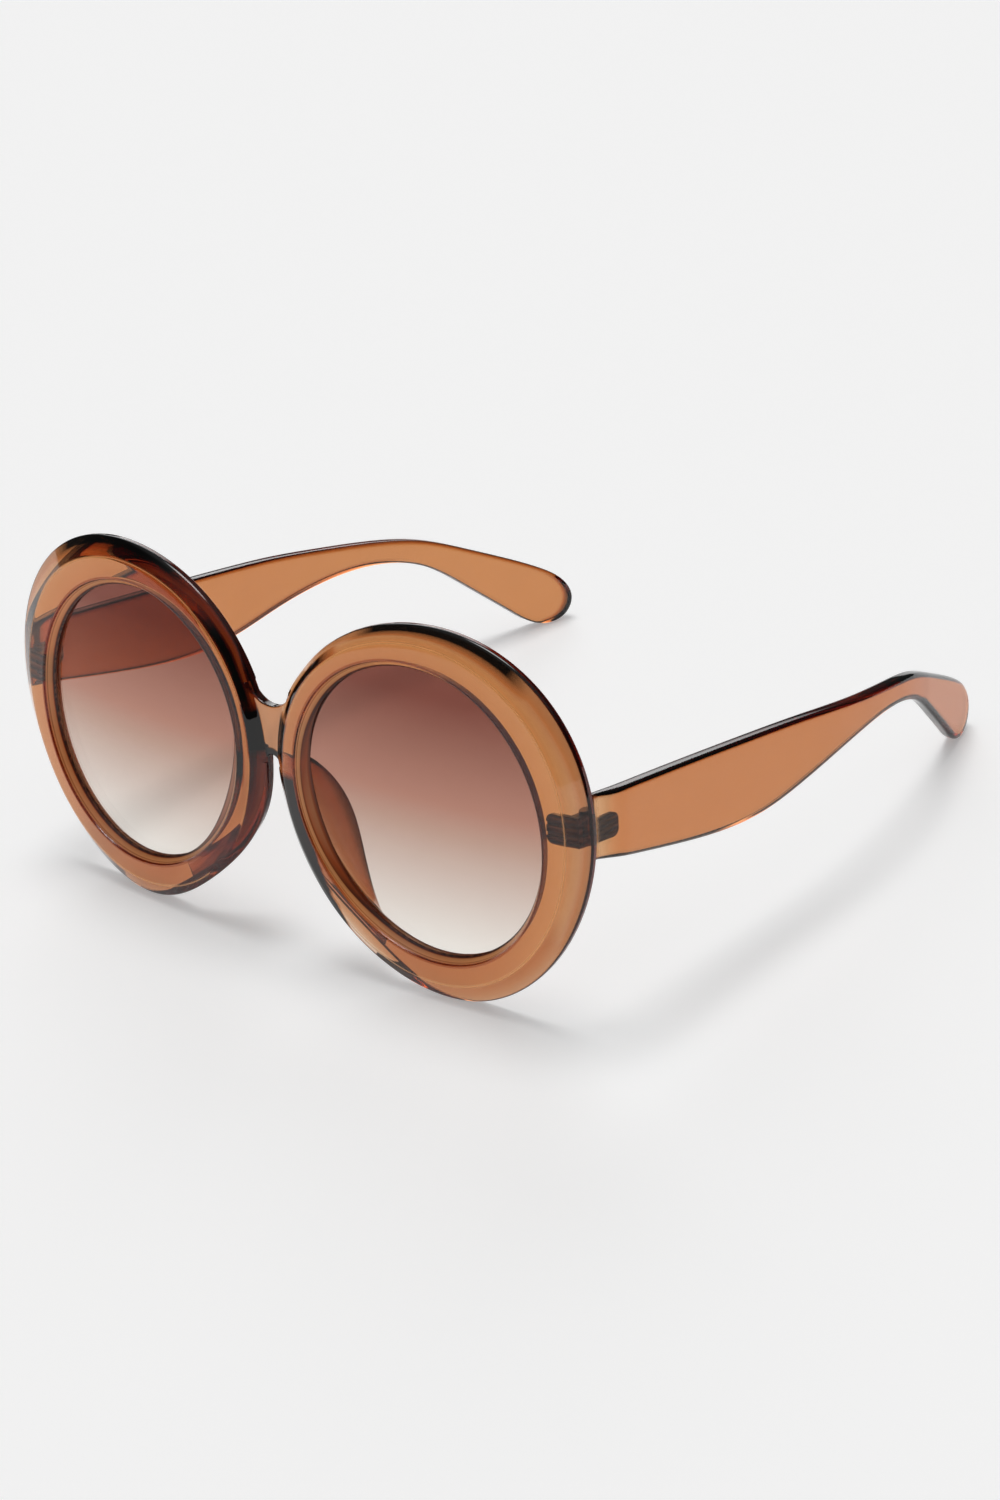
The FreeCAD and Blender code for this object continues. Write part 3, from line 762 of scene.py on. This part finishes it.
    # Rear face
    rear_border = np.maximum(r_rear, r_web)
    r_inner = opening_at(lip + lens.back_flare, rim.depth)
    rear_r = np.concatenate([
        columns(rear_border, r_rear - rear_border, (0, 0.01, 0.04, 0.1, 0.2, 0.35, 0.6, 0.85)),
        columns(r_rear, -rim.back_round * ones, (0, 0.08, 0.25, 0.55, 1, 1.6)),
        columns(r_inner, r_rear - r_inner, (0.6, 0.35)),
        columns(r_inner, rim.inner_round * ones, (2.5, 1, 0.5, 0.15, 0)),
    ], axis=1)
    rear_d = (
        rim.depth - rim.leaf_proud + web_slope[col] * np.maximum(rear_r - r_rear[col], 0)
        - quarter_round(edge_distance(rear_r, rear_border), rim.back_round)
        - quarter_round(rear_r - r_inner[col], rim.inner_round)
    )

    # Outer wall between them, then the groove and the slanted wall back to the front
    down = np.array([0.12, 0.5, 0.88])[None]
    wall_r = front_r[:, -1:] + (rear_r[:, :1] - front_r[:, -1:]) * down
    wall_d = front_d[:, -1:] + (rear_d[:, :1] - front_d[:, -1:]) * down
    apex = lens_apex(rim, lens)
    r_lip = opening_at(lip, lens.recess)[col]
    r_cover = opening_at(cover, lens.recess)[col]
    r_floor = opening_at(floor, lens.recess)[col]

    def front_lip(radius):
        """Depth of the groove's wall before the lens."""
        return apex + lens_sag(lens, radius, lens.curve_radius) - lens.clearance

    def back_lip(radius):
        """Depth of the groove's wall behind the lens."""
        return apex + lens_sag(lens, radius, lens.curve_radius - lens.thickness) + lens.clearance

    slant = np.array([0.0, 0.22, 0.34, 0.66, 0.76, 0.86])[None]
    slant_r = np.concatenate([(r_cover + r_lip) / 2, r_lip + (front_r[:, :1] - r_lip) * slant], axis=1)
    lip_d = front_lip(r_cover)
    slope = (front_d[:, :1] - lip_d) / (front_r[:, :1] - r_cover)
    groove_r = [r_lip, r_floor, r_floor, r_cover, slant_r]
    slant_d = lip_d + slope * (slant_r - r_cover)
    groove_d = [back_lip(r_lip), back_lip(r_floor), front_lip(r_floor), lip_d, slant_d]
    radius = np.concatenate([front_r, wall_r, rear_r] + groove_r, axis=1)
    depth = np.concatenate([front_d, wall_d, rear_d] + groove_d, axis=1)
    x = centre + radius * cosine[col]
    y = radius * cosine[col] * np.tan(wrap) + depth / np.cos(wrap)

    # Painted shade: stretches of the face and bevel, the arch, lines along the edges, the groove and the wall
    degrees = np.degrees(turn)[col]
    from_open, from_crease = front_r - r_open[col], front_r - r_crease[col]
    across_face, across_bevel = from_open / face[col], from_crease / bevel[col]
    on_face = face_smoke(degrees, across_face, across_bevel, side)
    above_arch = np.hypot(centre + front_r * cosine[col], front_r * sine[col] - arch_height) - arch_radius
    on_bridge = np.maximum(fade(above_arch / MM, *ARCH_FADE), BRIDGE_FACE_PAINTED_SHADE)
    beside_crease = smooth_step(np.abs(from_crease) / MM, *FACE_PAINTED_SHADE_RISE)
    rim_edge = edge_distance(front_r, border)
    front_painted_shade = np.max(np.broadcast_arrays(
        np.where(front_r > r_foot[col] + WELD, on_bridge, on_face),
        RIM_LINE * fade(rim_edge, RIM_LINE_CORE * edge[col], edge[col]),
        LENS_LINE * fade(from_open / MM, *LENS_LINE_FADE),
        face_haze(degrees) * beside_crease,
    ), axis=0)
    rear_painted_shade = BACK_LINE * fade(edge_distance(rear_r, rear_border), 0, rim.back_round)
    covered = cover_share(lens, turn)[col]
    groove_painted_shade = GROOVE_PAINTED_SHADE + covered * (COVERED_GROOVE_PAINTED_SHADE - GROOVE_PAINTED_SHADE)
    beside_nose = window(degrees, *NOSE_WALL_STRETCH)
    wall_painted_shade = (WALL_PAINTED_SHADE + (NOSE_WALL_PAINTED_SHADE - WALL_PAINTED_SHADE) * beside_nose) * np.ones_like(wall_r)
    smoke = np.concatenate([front_painted_shade, wall_painted_shade, rear_painted_shade, groove_painted_shade], axis=1)

    # Frost: a dull pale line along the crease, a painted highlight, where there is no painted shade, and the
    # whole groove
    painted_highlight_line = PAINTED_HIGHLIGHT_LINE * fade(np.abs(from_crease) / MM, *PAINTED_HIGHLIGHT_FADE) * (front_painted_shade < PAINTED_HIGHLIGHT_LIMIT)
    clear = np.zeros((len(turn), wall_r.shape[1] + rear_r.shape[1]))
    frost = np.concatenate([painted_highlight_line, clear, np.ones_like(groove_painted_shade)], axis=1)
    return np.stack([x, y, radius * sine[col]], axis=-1), smoke, frost


def build_front():
    """Front frame: both halves of the band, open and joined on X = 0."""
    s = settings()
    half, smoke, frost = front_points(s, "left")
    other_painted_shade = front_points(s, "right")[1]
    faces = grid_faces(half.shape[0], half.shape[1], True, True)
    flat = half.reshape(-1, 3)
    in_middle = (np.abs(flat[:, 0]) < WELD / 10)[faces].all(axis=1)
    faces = faces[~in_middle]
    points = np.concatenate([flat, mirrored(flat)])
    faces = np.concatenate([faces, faces[:, ::-1] + len(flat)])
    make_piece(
        "amber_front", points, faces.tolist(), "front", front_plastic(), ["front_frame"],
        np.concatenate([smoke, other_painted_shade]), np.concatenate([frost, frost]),
    )


# Lenses


def lens_points(s):
    """Left lens as points (angle, place over the section), upright.

    From the front's middle the section follows a sphere out to the outline in the groove, turns
    over the thin edge and follows the inner sphere back to the middle.
    """
    rim, lens = s.rim, s.lens
    turn = np.radians(np.arange(0, 360, LENS_STEP))
    rings = np.concatenate([np.linspace(0, 0.9, 10), [0.95, 0.99, 1.0]])
    grow = lens.groove_depth - lens.step - lens.clearance
    across, height = opening_outline(rim, turn, grow)
    across, height = across[:, None] * rings, height[:, None] * rings
    radius = np.hypot(across, height)
    apex = lens_apex(rim, lens)
    front = apex + lens_sag(lens, radius, lens.curve_radius)
    back = apex + lens_sag(lens, radius, lens.curve_radius - lens.thickness)
    return np.concatenate([
        rim_place(rim, across, front, height), rim_place(rim, across, back, height)[:, ::-1],
    ], axis=1)


def build_lenses():
    """Both lenses, each a closed shell with its two middles welded to points."""
    left = lens_points(settings())
    faces = grid_faces(left.shape[0], left.shape[1], True, False).tolist()
    make_pair("tinted_lens_{}", left, faces, "front", gradient_lens(), "lens_{}")


# Nose pads


def pad_points(s):
    """Left nose pad as points (place along it, place round its section), upright.

    The section has a wide seat on the rim and a narrow ridge. Along the pad the ridge rises with
    a skewed half sine and leans towards the lens as it rises. Its corners are rounded off.
    """
    rim, pad = s.rim, s.pad
    along = (1 - np.cos(np.linspace(0, np.pi, PAD_SECTIONS))) / 2
    turn = pad.start_angle + along * (pad.end_angle - pad.start_angle)
    across, height = outer_outline(rim, turn, rim.nose_relief + rim.nose_splay)
    edge = np.hypot(across, height)
    rise = pad.root + (1 - pad.root) * np.sin(np.pi * along ** pad.skew)
    seat = edge - pad.set_in - pad.seat_width / 2
    ridge = rim.opening_radius + pad.ridge_out - pad.lean * rise
    top = rim.depth + pad.reach * rise
    base = np.full_like(top, rim.depth - rim.leaf_proud + pad.bond_gap)
    corners = np.stack([
        np.stack([seat - pad.seat_width / 2, base], axis=-1),
        np.stack([seat + pad.seat_width / 2, base], axis=-1),
        np.stack([ridge + pad.ridge_width / 2, top], axis=-1),
        np.stack([ridge - pad.ridge_width / 2, top], axis=-1),
    ], axis=1)
    softness = np.array([SEAT_SOFTNESS, SEAT_SOFTNESS, pad.softness, pad.softness])[None, :, None]
    section = rounded_corners(corners, softness, PAD_CORNER_POINTS)
    radius, depth = section[..., 0], section[..., 1]
    ridge_share = (depth - base[:, None]) / (top - base)[:, None]
    # Painted shade, darker up towards the ridge
    smoke = sum(dark * smooth_step(ridge_share, start, whole) for dark, start, whole in PAD_PAINTED_SHADE)
    place = rim_place(rim, radius * (across / edge)[:, None], depth, radius * (height / edge)[:, None])
    return place, smoke


def with_end_caps(points, first, last):
    """Faces of a tube of closed sections, with a face over either end where it is asked for."""
    rows, columns = points.shape[:2]
    faces = grid_faces(rows, columns, False, True).tolist()
    ring = np.arange(columns)
    if first:
        faces.append(ring[::-1].tolist())
    if last:
        faces.append((ring + (rows - 1) * columns).tolist())
    return faces


def build_nose_pads():
    """Both nose pads."""
    left, smoke = pad_points(settings())
    faces = with_end_caps(left, True, True)
    make_pair(
        "soft_nose_pad_{}", left, faces, "front", pad_plastic(), "nose_pad_{}", smoke,
    )


# Temples


def temple_start(s):
    """Butt end of the temple, measured back from the hinge axis: a gap behind the rim."""
    temple = s.temple
    turn = s.rim.wrap_angle - temple.toe_in
    outer = temple.hinge_offset + temple.thickness
    return (outer * math.sin(turn) + temple.end_gap - temple.hinge_offset) / math.cos(turn)


def temple_points(s):
    """Left temple as points (place along it, place round its section), upright.

    The side view's top and bottom edges run from the butt end and meet at the tip. Each section
    goes from one to the other over both faces, and at both edges turns through a quarter round
    that is cut from the side view inwards. The plan then bends both faces towards the head.
    """
    temple = s.temple
    start, top, bottom = (
        value / MM for value in (temple_start(s), temple.front_top, temple.front_bottom)
    )
    points = ((start, top),) + TEMPLE_TOP_EDGE + TEMPLE_TIP + TEMPLE_BOTTOM_EDGE + ((start, bottom),)
    middle = 1 + len(TEMPLE_TOP_EDGE) + len(TEMPLE_TIP) // 2
    t = np.linspace(0, 1, TEMPLE_SECTIONS)
    upper, upper_way = through_points(points, middle * t)
    last = len(points) - 1
    lower, lower_way = through_points(points, last - (last - middle) * t)
    upper_in = np.stack([upper_way[:, 1], -upper_way[:, 0]], axis=-1)
    lower_in = np.stack([lower_way[:, 1], -lower_way[:, 0]], axis=-1)
    edge, half = temple.edge_round, temple.thickness / 2
    bend = np.linspace(0, np.pi / 2, TEMPLE_EDGE_POINTS)
    inset, out = edge * (1 - np.cos(bend)), half - edge + edge * np.sin(bend)

    def strip(line, inward):
        """An edge cut inwards by each step of the quarter round, in metres."""
        return line[:, None] * MM + inward[:, None] * inset[None, :, None]

    over, under = strip(upper, upper_in), strip(lower, lower_in)
    share_down = np.linspace(0, 1, TEMPLE_FACE_POINTS)[1:-1][None, :, None]
    face = over[:, -1:] + (under[:, -1:] - over[:, -1:]) * share_down
    flank = np.concatenate([over, face, under[:, ::-1]], axis=1)
    depth = np.concatenate([out, np.full(share_down.size, half), out[::-1]])
    side_view = np.concatenate([flank, flank[:, ::-1]], axis=1)
    sideways = np.concatenate([depth, -depth[::-1]])[None]
    v, z = side_view[..., 0], side_view[..., 1]

    def plan(offset):
        """X of the face at a distance from the inner one: straight, an arc, then straight."""
        radius = temple.bend_radius + offset
        reach = radius * np.sin(temple.bend_turn)
        back = np.clip(v - temple.straight, 0, reach)
        bent = temple.hinge_offset - temple.bend_radius + np.sqrt(radius ** 2 - back ** 2)
        return bent - np.maximum(v - temple.straight - reach, 0) * np.tan(temple.bend_turn)

    narrow = temple.butt_taper * fade(v - temple_start(s), 0, temple.butt_reach)
    inner, outer = plan(s.rim.leaf_proud), plan(temple.thickness) - narrow
    x = inner + (outer - inner) * (0.5 + sideways / temple.thickness)
    turn = temple.toe_in
    place = np.stack([x * np.cos(turn) - v * np.sin(turn), x * np.sin(turn) + v * np.cos(turn), z], axis=-1)
    # Painted shade: a dark line along each edge, less of it along the inner bottom edge
    line = TEMPLE_LINE * fade(bend / (np.pi / 2), *TEMPLE_LINE_FADE)
    clear = np.zeros(share_down.size)
    smoke = np.concatenate([line, clear, line[::-1], INNER_BOTTOM_LINE * line, clear, line[::-1]])
    frost = np.zeros(v.shape)
    frost[0] = 1.0
    return place + hinge_axis(s), np.broadcast_to(smoke, v.shape), frost


def build_temples():
    """Both temples, flat at the butt end and closed at the tip."""
    left, smoke, frost = temple_points(settings())
    faces = with_end_caps(left, True, False)
    make_pair(
        "amber_temple_{}", left, faces, "temple_{}", temple_plastic(), "temple_{}",
        smoke, frost,
    )


# Materials


class Field:
    """A value or colour over a surface: a socket whose arithmetic adds Math nodes."""

    def __init__(self, tree, socket=None):
        self.tree = tree
        self.socket = socket

    def node(self, kind, options=None, inputs=None, output=0):
        """Adds a node, sets its options, then sets or links its sockets."""
        node = self.tree.nodes.new(kind)
        for name, value in (options or {}).items():
            if name == "stops":
                set_stops(node.color_ramp, value)
            else:
                setattr(node, name, value)
        for name, value in (inputs or {}).items():
            if isinstance(value, Field):
                self.tree.links.new(value.socket, node.inputs[name])
            else:
                node.inputs[name].default_value = value
        return Field(self.tree, node.outputs[output] if node.outputs else None)

    def math(self, operation, first, second):
        """One Math node."""
        return self.node("ShaderNodeMath", {"operation": operation}, {0: first, 1: second})

    def mix(self, first, second):
        """Colours mixed by this value."""
        return self.node(
            "ShaderNodeMix", {"data_type": "RGBA"}, {0: self, 6: first, 7: second}, output=2,
        )

    def times(self, other):
        """This colour multiplied by another."""
        blend = {"data_type": "RGBA", "blend_type": "MULTIPLY"}
        return self.node("ShaderNodeMix", blend, {0: 1.0, 6: self, 7: other}, output=2)

    def __add__(self, other):
        return self.math("ADD", self, other)

    __radd__ = __add__

    def __sub__(self, other):
        return self.math("SUBTRACT", self, other)

    def __rsub__(self, other):
        return self.math("SUBTRACT", other, self)

    def __mul__(self, other):
        return self.math("MULTIPLY", self, other)

    __rmul__ = __mul__

    def __truediv__(self, other):
        return self.math("DIVIDE", self, other)

    def __rtruediv__(self, other):
        return self.math("DIVIDE", other, self)


def set_stops(ramp, stops):
    """Sets a ramp's stops, given as (place, colour)."""
    while len(ramp.elements) > 1:
        ramp.elements.remove(ramp.elements[-1])
    ramp.elements[0].position, ramp.elements[0].color = stops[0]
    for place, value in stops[1:]:
        ramp.elements.new(place).color = value


def new_material(name):
    """An empty material, the field that its nodes start from, and its Object coordinates."""
    material = bpy.data.materials.new(name)
    material.use_nodes = True
    material.node_tree.nodes.clear()
    start = Field(material.node_tree)
    return material, start, start.node("ShaderNodeTexCoord", output="Object")


def rgba(value):
    """A colour property as a socket's four numbers."""
    return (value[0], value[1], value[2], 1.0)


def passing(value):
    """Colour of a see-through surface, which passes its root, so what is to pass is squared."""
    return rgba([channel ** 2 for channel in value])


def noise(place, scale, detail):
    """Soft noise over a surface."""
    return place.node("ShaderNodeTexNoise", None, {"Vector": place, "Scale": scale, "Detail": detail})


def see_through_plastic(name, strength, polish):
    """Amber plastic coloured through its depth, with faint clouds and specks, painted shade and a painted
    highlight.

    Strength multiplies its absorption, and polish is the least roughness of its surface.
    """
    finish = settings().finish
    material, start, place = new_material(name)
    specks, clouds = noise(place, SPECK_SCALE, 3.0), noise(place, CLOUD_SCALE, 2.0)
    clear = (specks * 0.5 + clouds * 0.5).mix(rgba(finish.clouds), WHITE)
    # Painted shade and frost from the pieces' points; where frosted a dull pale scatter mixes in, which along
    # the crease is a painted highlight
    smoke = start.node("ShaderNodeAttribute", {"attribute_name": "smoke"}, output="Fac")
    frost = start.node("ShaderNodeAttribute", {"attribute_name": "frost"}, output="Fac")
    stops = ((0.0, WHITE), (0.5, passing(finish.haze)), (1.0, passing(finish.smoke)))
    passes = start.node("ShaderNodeValToRGB", {"stops": stops}, {"Fac": smoke})
    polished = start.node("ShaderNodeBsdfPrincipled", None, {
        "Base Color": clear.times(passes), "IOR": finish.plastic_ior, "Transmission Weight": 1.0,
        "Roughness": clouds * CLOUD_ROUGHNESS + polish + frost * finish.frost,
    })
    dull = start.node("ShaderNodeBsdfPrincipled", None, {
        "Base Color": passes.times(rgba(finish.dull)), "Roughness": finish.frost, "IOR": finish.plastic_ior,
    })
    surface = start.node("ShaderNodeMixShader", None, {0: frost * finish.dullness, 1: polished, 2: dull})
    # A millimetre passes the amber share, so a metre absorbs its negative logarithm a thousand times.
    kept = [1 + math.log(max(channel, 0.01)) / MM / finish.amber_density for channel in finish.amber]
    volume = start.node("ShaderNodeVolumeAbsorption", None, {
        "Color": rgba([min(max(channel, 0.0), 1.0) for channel in kept]),
        "Density": finish.amber_density * strength,
    })
    start.node("ShaderNodeOutputMaterial", None, {"Surface": surface, "Volume": volume})
    return material


def front_plastic():
    """Polished plastic of the front, a little paler than the temples for its depth."""
    finish = settings().finish
    return see_through_plastic("amber_plastic_front", finish.front_density, finish.polish)


def temple_plastic():
    """Polished plastic of the temples."""
    return see_through_plastic("amber_plastic_temple", 1.0, settings().finish.polish)


def pad_plastic():
    """Satin plastic of the nose pads, a little paler than the temples."""
    finish = settings().finish
    return see_through_plastic("amber_plastic_satin", finish.pad_density, finish.satin)


def gradient_lens():
    """Tinted lens: dark brown at the top, fading to nearly clear at the bottom."""
    finish = settings().finish
    low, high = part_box("lens_left")
    material, start, place = new_material("gradient_lens_tint")
    z = start.node("ShaderNodeSeparateXYZ", None, {"Vector": place}, output="Z")
    level = (z - low.z) / (high.z - low.z)
    tints = (finish.lens_bottom, finish.lens_middle, finish.lens_upper, finish.lens_top)
    stops = [(place_up, rgba(tint)) for place_up, tint in zip(LENS_STOPS, tints)]
    graded = start.node("ShaderNodeValToRGB", {"stops": stops}, {"Fac": level})
    smears = noise(place, SMEAR_SCALE, 2.0)
    surface = start.node("ShaderNodeBsdfPrincipled", None, {
        "Base Color": graded, "Roughness": smears * SMEAR_ROUGHNESS, "IOR": finish.lens_ior,
        "Transmission Weight": 1.0,
    })
    start.node("ShaderNodeOutputMaterial", None, {"Surface": surface})
    return material


def hinge_metal():
    """Stamped hinge metal: satin, slightly brushed along the leaf, duller in places, with painted shade in
    its grooves.
    """
    finish = settings().finish
    material, start, place = new_material("hinge_metal_satin")
    along = start.node("ShaderNodeMapping", None, {"Vector": place, "Scale": BRUSH_SCALE})
    brush, tarnish = noise(along, 1.0, 4.0), noise(place, TARNISH_SCALE, 3.0)
    grooves = start.node("ShaderNodeTexWave", {"bands_direction": "Z"}, {
        "Vector": place, "Scale": finish.groove_scale, "Distortion": 0.6, "Detail": 1.0, "Detail Scale": 1.5,
    }, output="Fac")
    # Tone: random brushing and tarnish, and painted shade in the stamped grooves
    tone_and_groove_shade = brush * 0.25 + tarnish * 0.25 + grooves * 0.5
    bump = start.node("ShaderNodeBump", None, {
        "Strength": 0.6, "Distance": finish.groove_height, "Height": brush * 0.1 + grooves,
    })
    surface = start.node("ShaderNodeBsdfPrincipled", None, {
        "Base Color": tone_and_groove_shade.mix(rgba(finish.metal_low), rgba(finish.metal)), "Metallic": 1.0,
        "Roughness": finish.metal_polish + TARNISH_ROUGHNESS * tarnish, "Normal": bump,
    })
    start.node("ShaderNodeOutputMaterial", None, {"Surface": surface})
    return material


def finish_hinges():
    """Gives the hinge leaves and screws their metal."""
    metal = hinge_metal()
    for name, node in frame["nodes"].items():
        if "hinge" in name:
            for slot in node.material_slots:
                slot.material = metal


# Stage


def build_floor(studio):
    """Flat pale floor, a grid of one square."""
    reach = studio.floor_reach
    mesh = bpy.data.meshes.new("studio_floor")
    corners = np.array([[-1, -1, 0], [1, -1, 0], [1, 1, 0], [-1, 1, 0]]) * reach
    mesh.from_pydata(corners.tolist(), [], [(0, 1, 2, 3)])
    material, start, place = new_material("studio_paper")
    tint = noise(place, FIBRE_SCALE, 2.0).mix(rgba(studio.floor_colour), rgba(studio.floor_fibres))
    surface = start.node("ShaderNodeBsdfPrincipled", None, {
        "Base Color": tint, "Roughness": 1.0, "Specular IOR Level": 0.0,
        "Emission Color": WHITE, "Emission Strength": studio.floor_glow,
    })
    start.node("ShaderNodeOutputMaterial", None, {"Surface": surface})
    mesh.materials.append(material)
    floor = bpy.data.objects.new("studio_floor", mesh)
    bpy.context.scene.collection.objects.link(floor)


def soft_rise(value, start, end, low, high):
    """A value that goes softly from low to high between start and end."""
    return value.node("ShaderNodeMapRange", {"interpolation_type": "SMOOTHSTEP"}, {
        "Value": value, "From Min": start, "From Max": end, "To Min": low, "To Max": high,
    })


def build_light(studio):
    """Sky panel overhead, a round panel behind and a small strong one high up behind, in a dim room."""
    world = bpy.data.worlds.new("studio_light")
    world.use_nodes = True
    world.node_tree.nodes.clear()
    start = Field(world.node_tree)
    way = start.node("ShaderNodeTexCoord", output="Generated")
    height = start.node("ShaderNodeSeparateXYZ", None, {"Vector": way}, output="Z")
    sky_start, sky_whole = (studio.panel_height + step * studio.panel_softness for step in (-1, 1))
    sky = soft_rise(height, sky_start, sky_whole, studio.room_light, studio.overhead_light)

    def round_panel(height_angle, inner, outer, strength):
        """Light from a round panel behind at a height, faded from its inner to its outer half width."""
        heading, flat = studio.back_heading, math.cos(height_angle)
        middle = (-math.sin(heading) * flat, math.cos(heading) * flat, math.sin(height_angle))
        near = start.node(
            "ShaderNodeVectorMath", {"operation": "DOT_PRODUCT"}, {0: way, 1: middle}, output="Value",
        )
        return soft_rise(near, math.cos(outer), math.cos(inner), 0.0, strength)

    behind = round_panel(studio.back_height, studio.back_inner, studio.back_outer, studio.back_light)
    key = round_panel(studio.key_height, studio.key_inner, studio.key_outer, studio.key_light)
    light = start.node("ShaderNodeBackground", None, {"Color": WHITE, "Strength": sky + behind + key})
    start.node("ShaderNodeOutputWorld", None, {"Surface": light})
    bpy.context.scene.world = world


def build_camera(studio):
    """Camera at its distance from the aim, turned by heading, dip and roll."""
    heading, dip, roll = studio.heading, studio.dip, studio.roll
    ahead = np.array([
        -math.sin(heading) * math.cos(dip), math.cos(heading) * math.cos(dip), -math.sin(dip),
    ])
    level = np.array([math.cos(heading), math.sin(heading), 0.0])
    upright = np.cross(level, ahead)
    right = level * math.cos(roll) + upright * math.sin(roll)
    up = upright * math.cos(roll) - level * math.sin(roll)
    place = np.array(studio.aim) - ahead * studio.distance
    data = bpy.data.cameras.new("photo_camera")
    data.lens = studio.focal_length
    data.sensor_width = SENSOR_LENGTH
    data.sensor_fit = "AUTO"
    data.clip_start, data.clip_end = 0.01, 100.0
    camera = bpy.data.objects.new("photo_camera", data)
    camera.matrix_world = Matrix([
        [right[k], up[k], -ahead[k], place[k]] for k in range(3)
    ] + [[0, 0, 0, 1]])
    bpy.context.scene.collection.objects.link(camera)
    bpy.context.scene.camera = camera


def build_stage():
    """Floor, light and camera."""
    studio = settings().studio
    build_floor(studio)
    build_light(studio)
    build_camera(studio)
    bpy.context.scene.view_settings.view_transform = "Standard"


# Operators and panel


class SUNGLASSES_OT_front(Operator):
    """Builds the front frame: two rims and the bridge."""

    bl_idname = "sunglasses.front"
    bl_label = "Front Frame"

    def execute(self, context):
        build_front()
        return {"FINISHED"}


class SUNGLASSES_OT_lenses(Operator):
    """Builds the two graded lenses."""

    bl_idname = "sunglasses.lenses"
    bl_label = "Lenses"

    def execute(self, context):
        build_lenses()
        return {"FINISHED"}


class SUNGLASSES_OT_nose_pads(Operator):
    """Builds the two nose pads."""

    bl_idname = "sunglasses.nose_pads"
    bl_label = "Nose Pads"

    def execute(self, context):
        build_nose_pads()
        return {"FINISHED"}


class SUNGLASSES_OT_temples(Operator):
    """Builds the two temples."""

    bl_idname = "sunglasses.temples"
    bl_label = "Temples"

    def execute(self, context):
        build_temples()
        return {"FINISHED"}


class SUNGLASSES_OT_hinges(Operator):
    """Finishes the hinge leaves and screws."""

    bl_idname = "sunglasses.hinges"
    bl_label = "Hinges"

    def execute(self, context):
        finish_hinges()
        return {"FINISHED"}


class SUNGLASSES_OT_stage(Operator):
    """Builds the floor, the light and the camera."""

    bl_idname = "sunglasses.stage"
    bl_label = "Stage"

    def execute(self, context):
        build_stage()
        return {"FINISHED"}


OPERATORS = (
    SUNGLASSES_OT_front, SUNGLASSES_OT_lenses, SUNGLASSES_OT_nose_pads, SUNGLASSES_OT_temples,
    SUNGLASSES_OT_hinges, SUNGLASSES_OT_stage,
)


class SUNGLASSES_PT_panel(Panel):
    """Lists the pieces of the sunglasses."""

    bl_idname = "SUNGLASSES_PT_panel"
    bl_label = "Sunglasses"
    bl_space_type = "VIEW_3D"
    bl_region_type = "UI"
    bl_category = "Sunglasses"

    def draw(self, context):
        for operator in OPERATORS:
            self.layout.operator(operator.bl_idname)


GROUPS = (RimSizes, LensSizes, PadSizes, TempleSizes, Finishes, StudioSettings, SunglassesSettings)


def register():
    """Registers the settings, the operators and the panel."""
    for group in GROUPS + OPERATORS + (SUNGLASSES_PT_panel,):
        bpy.utils.register_class(group)
    bpy.types.Scene.sunglasses = PointerProperty(type=SunglassesSettings)


def unregister():
    """Removes what register added."""
    del bpy.types.Scene.sunglasses
    for group in reversed(GROUPS + OPERATORS + (SUNGLASSES_PT_panel,)):
        bpy.utils.unregister_class(group)


def main():
    """Builds every piece and the stage."""
    register()
    bpy.ops.sunglasses.front()
    bpy.ops.sunglasses.lenses()
    bpy.ops.sunglasses.nose_pads()
    bpy.ops.sunglasses.temples()
    bpy.ops.sunglasses.hinges()
    bpy.ops.sunglasses.stage()


if __name__ == "__main__":
    main()
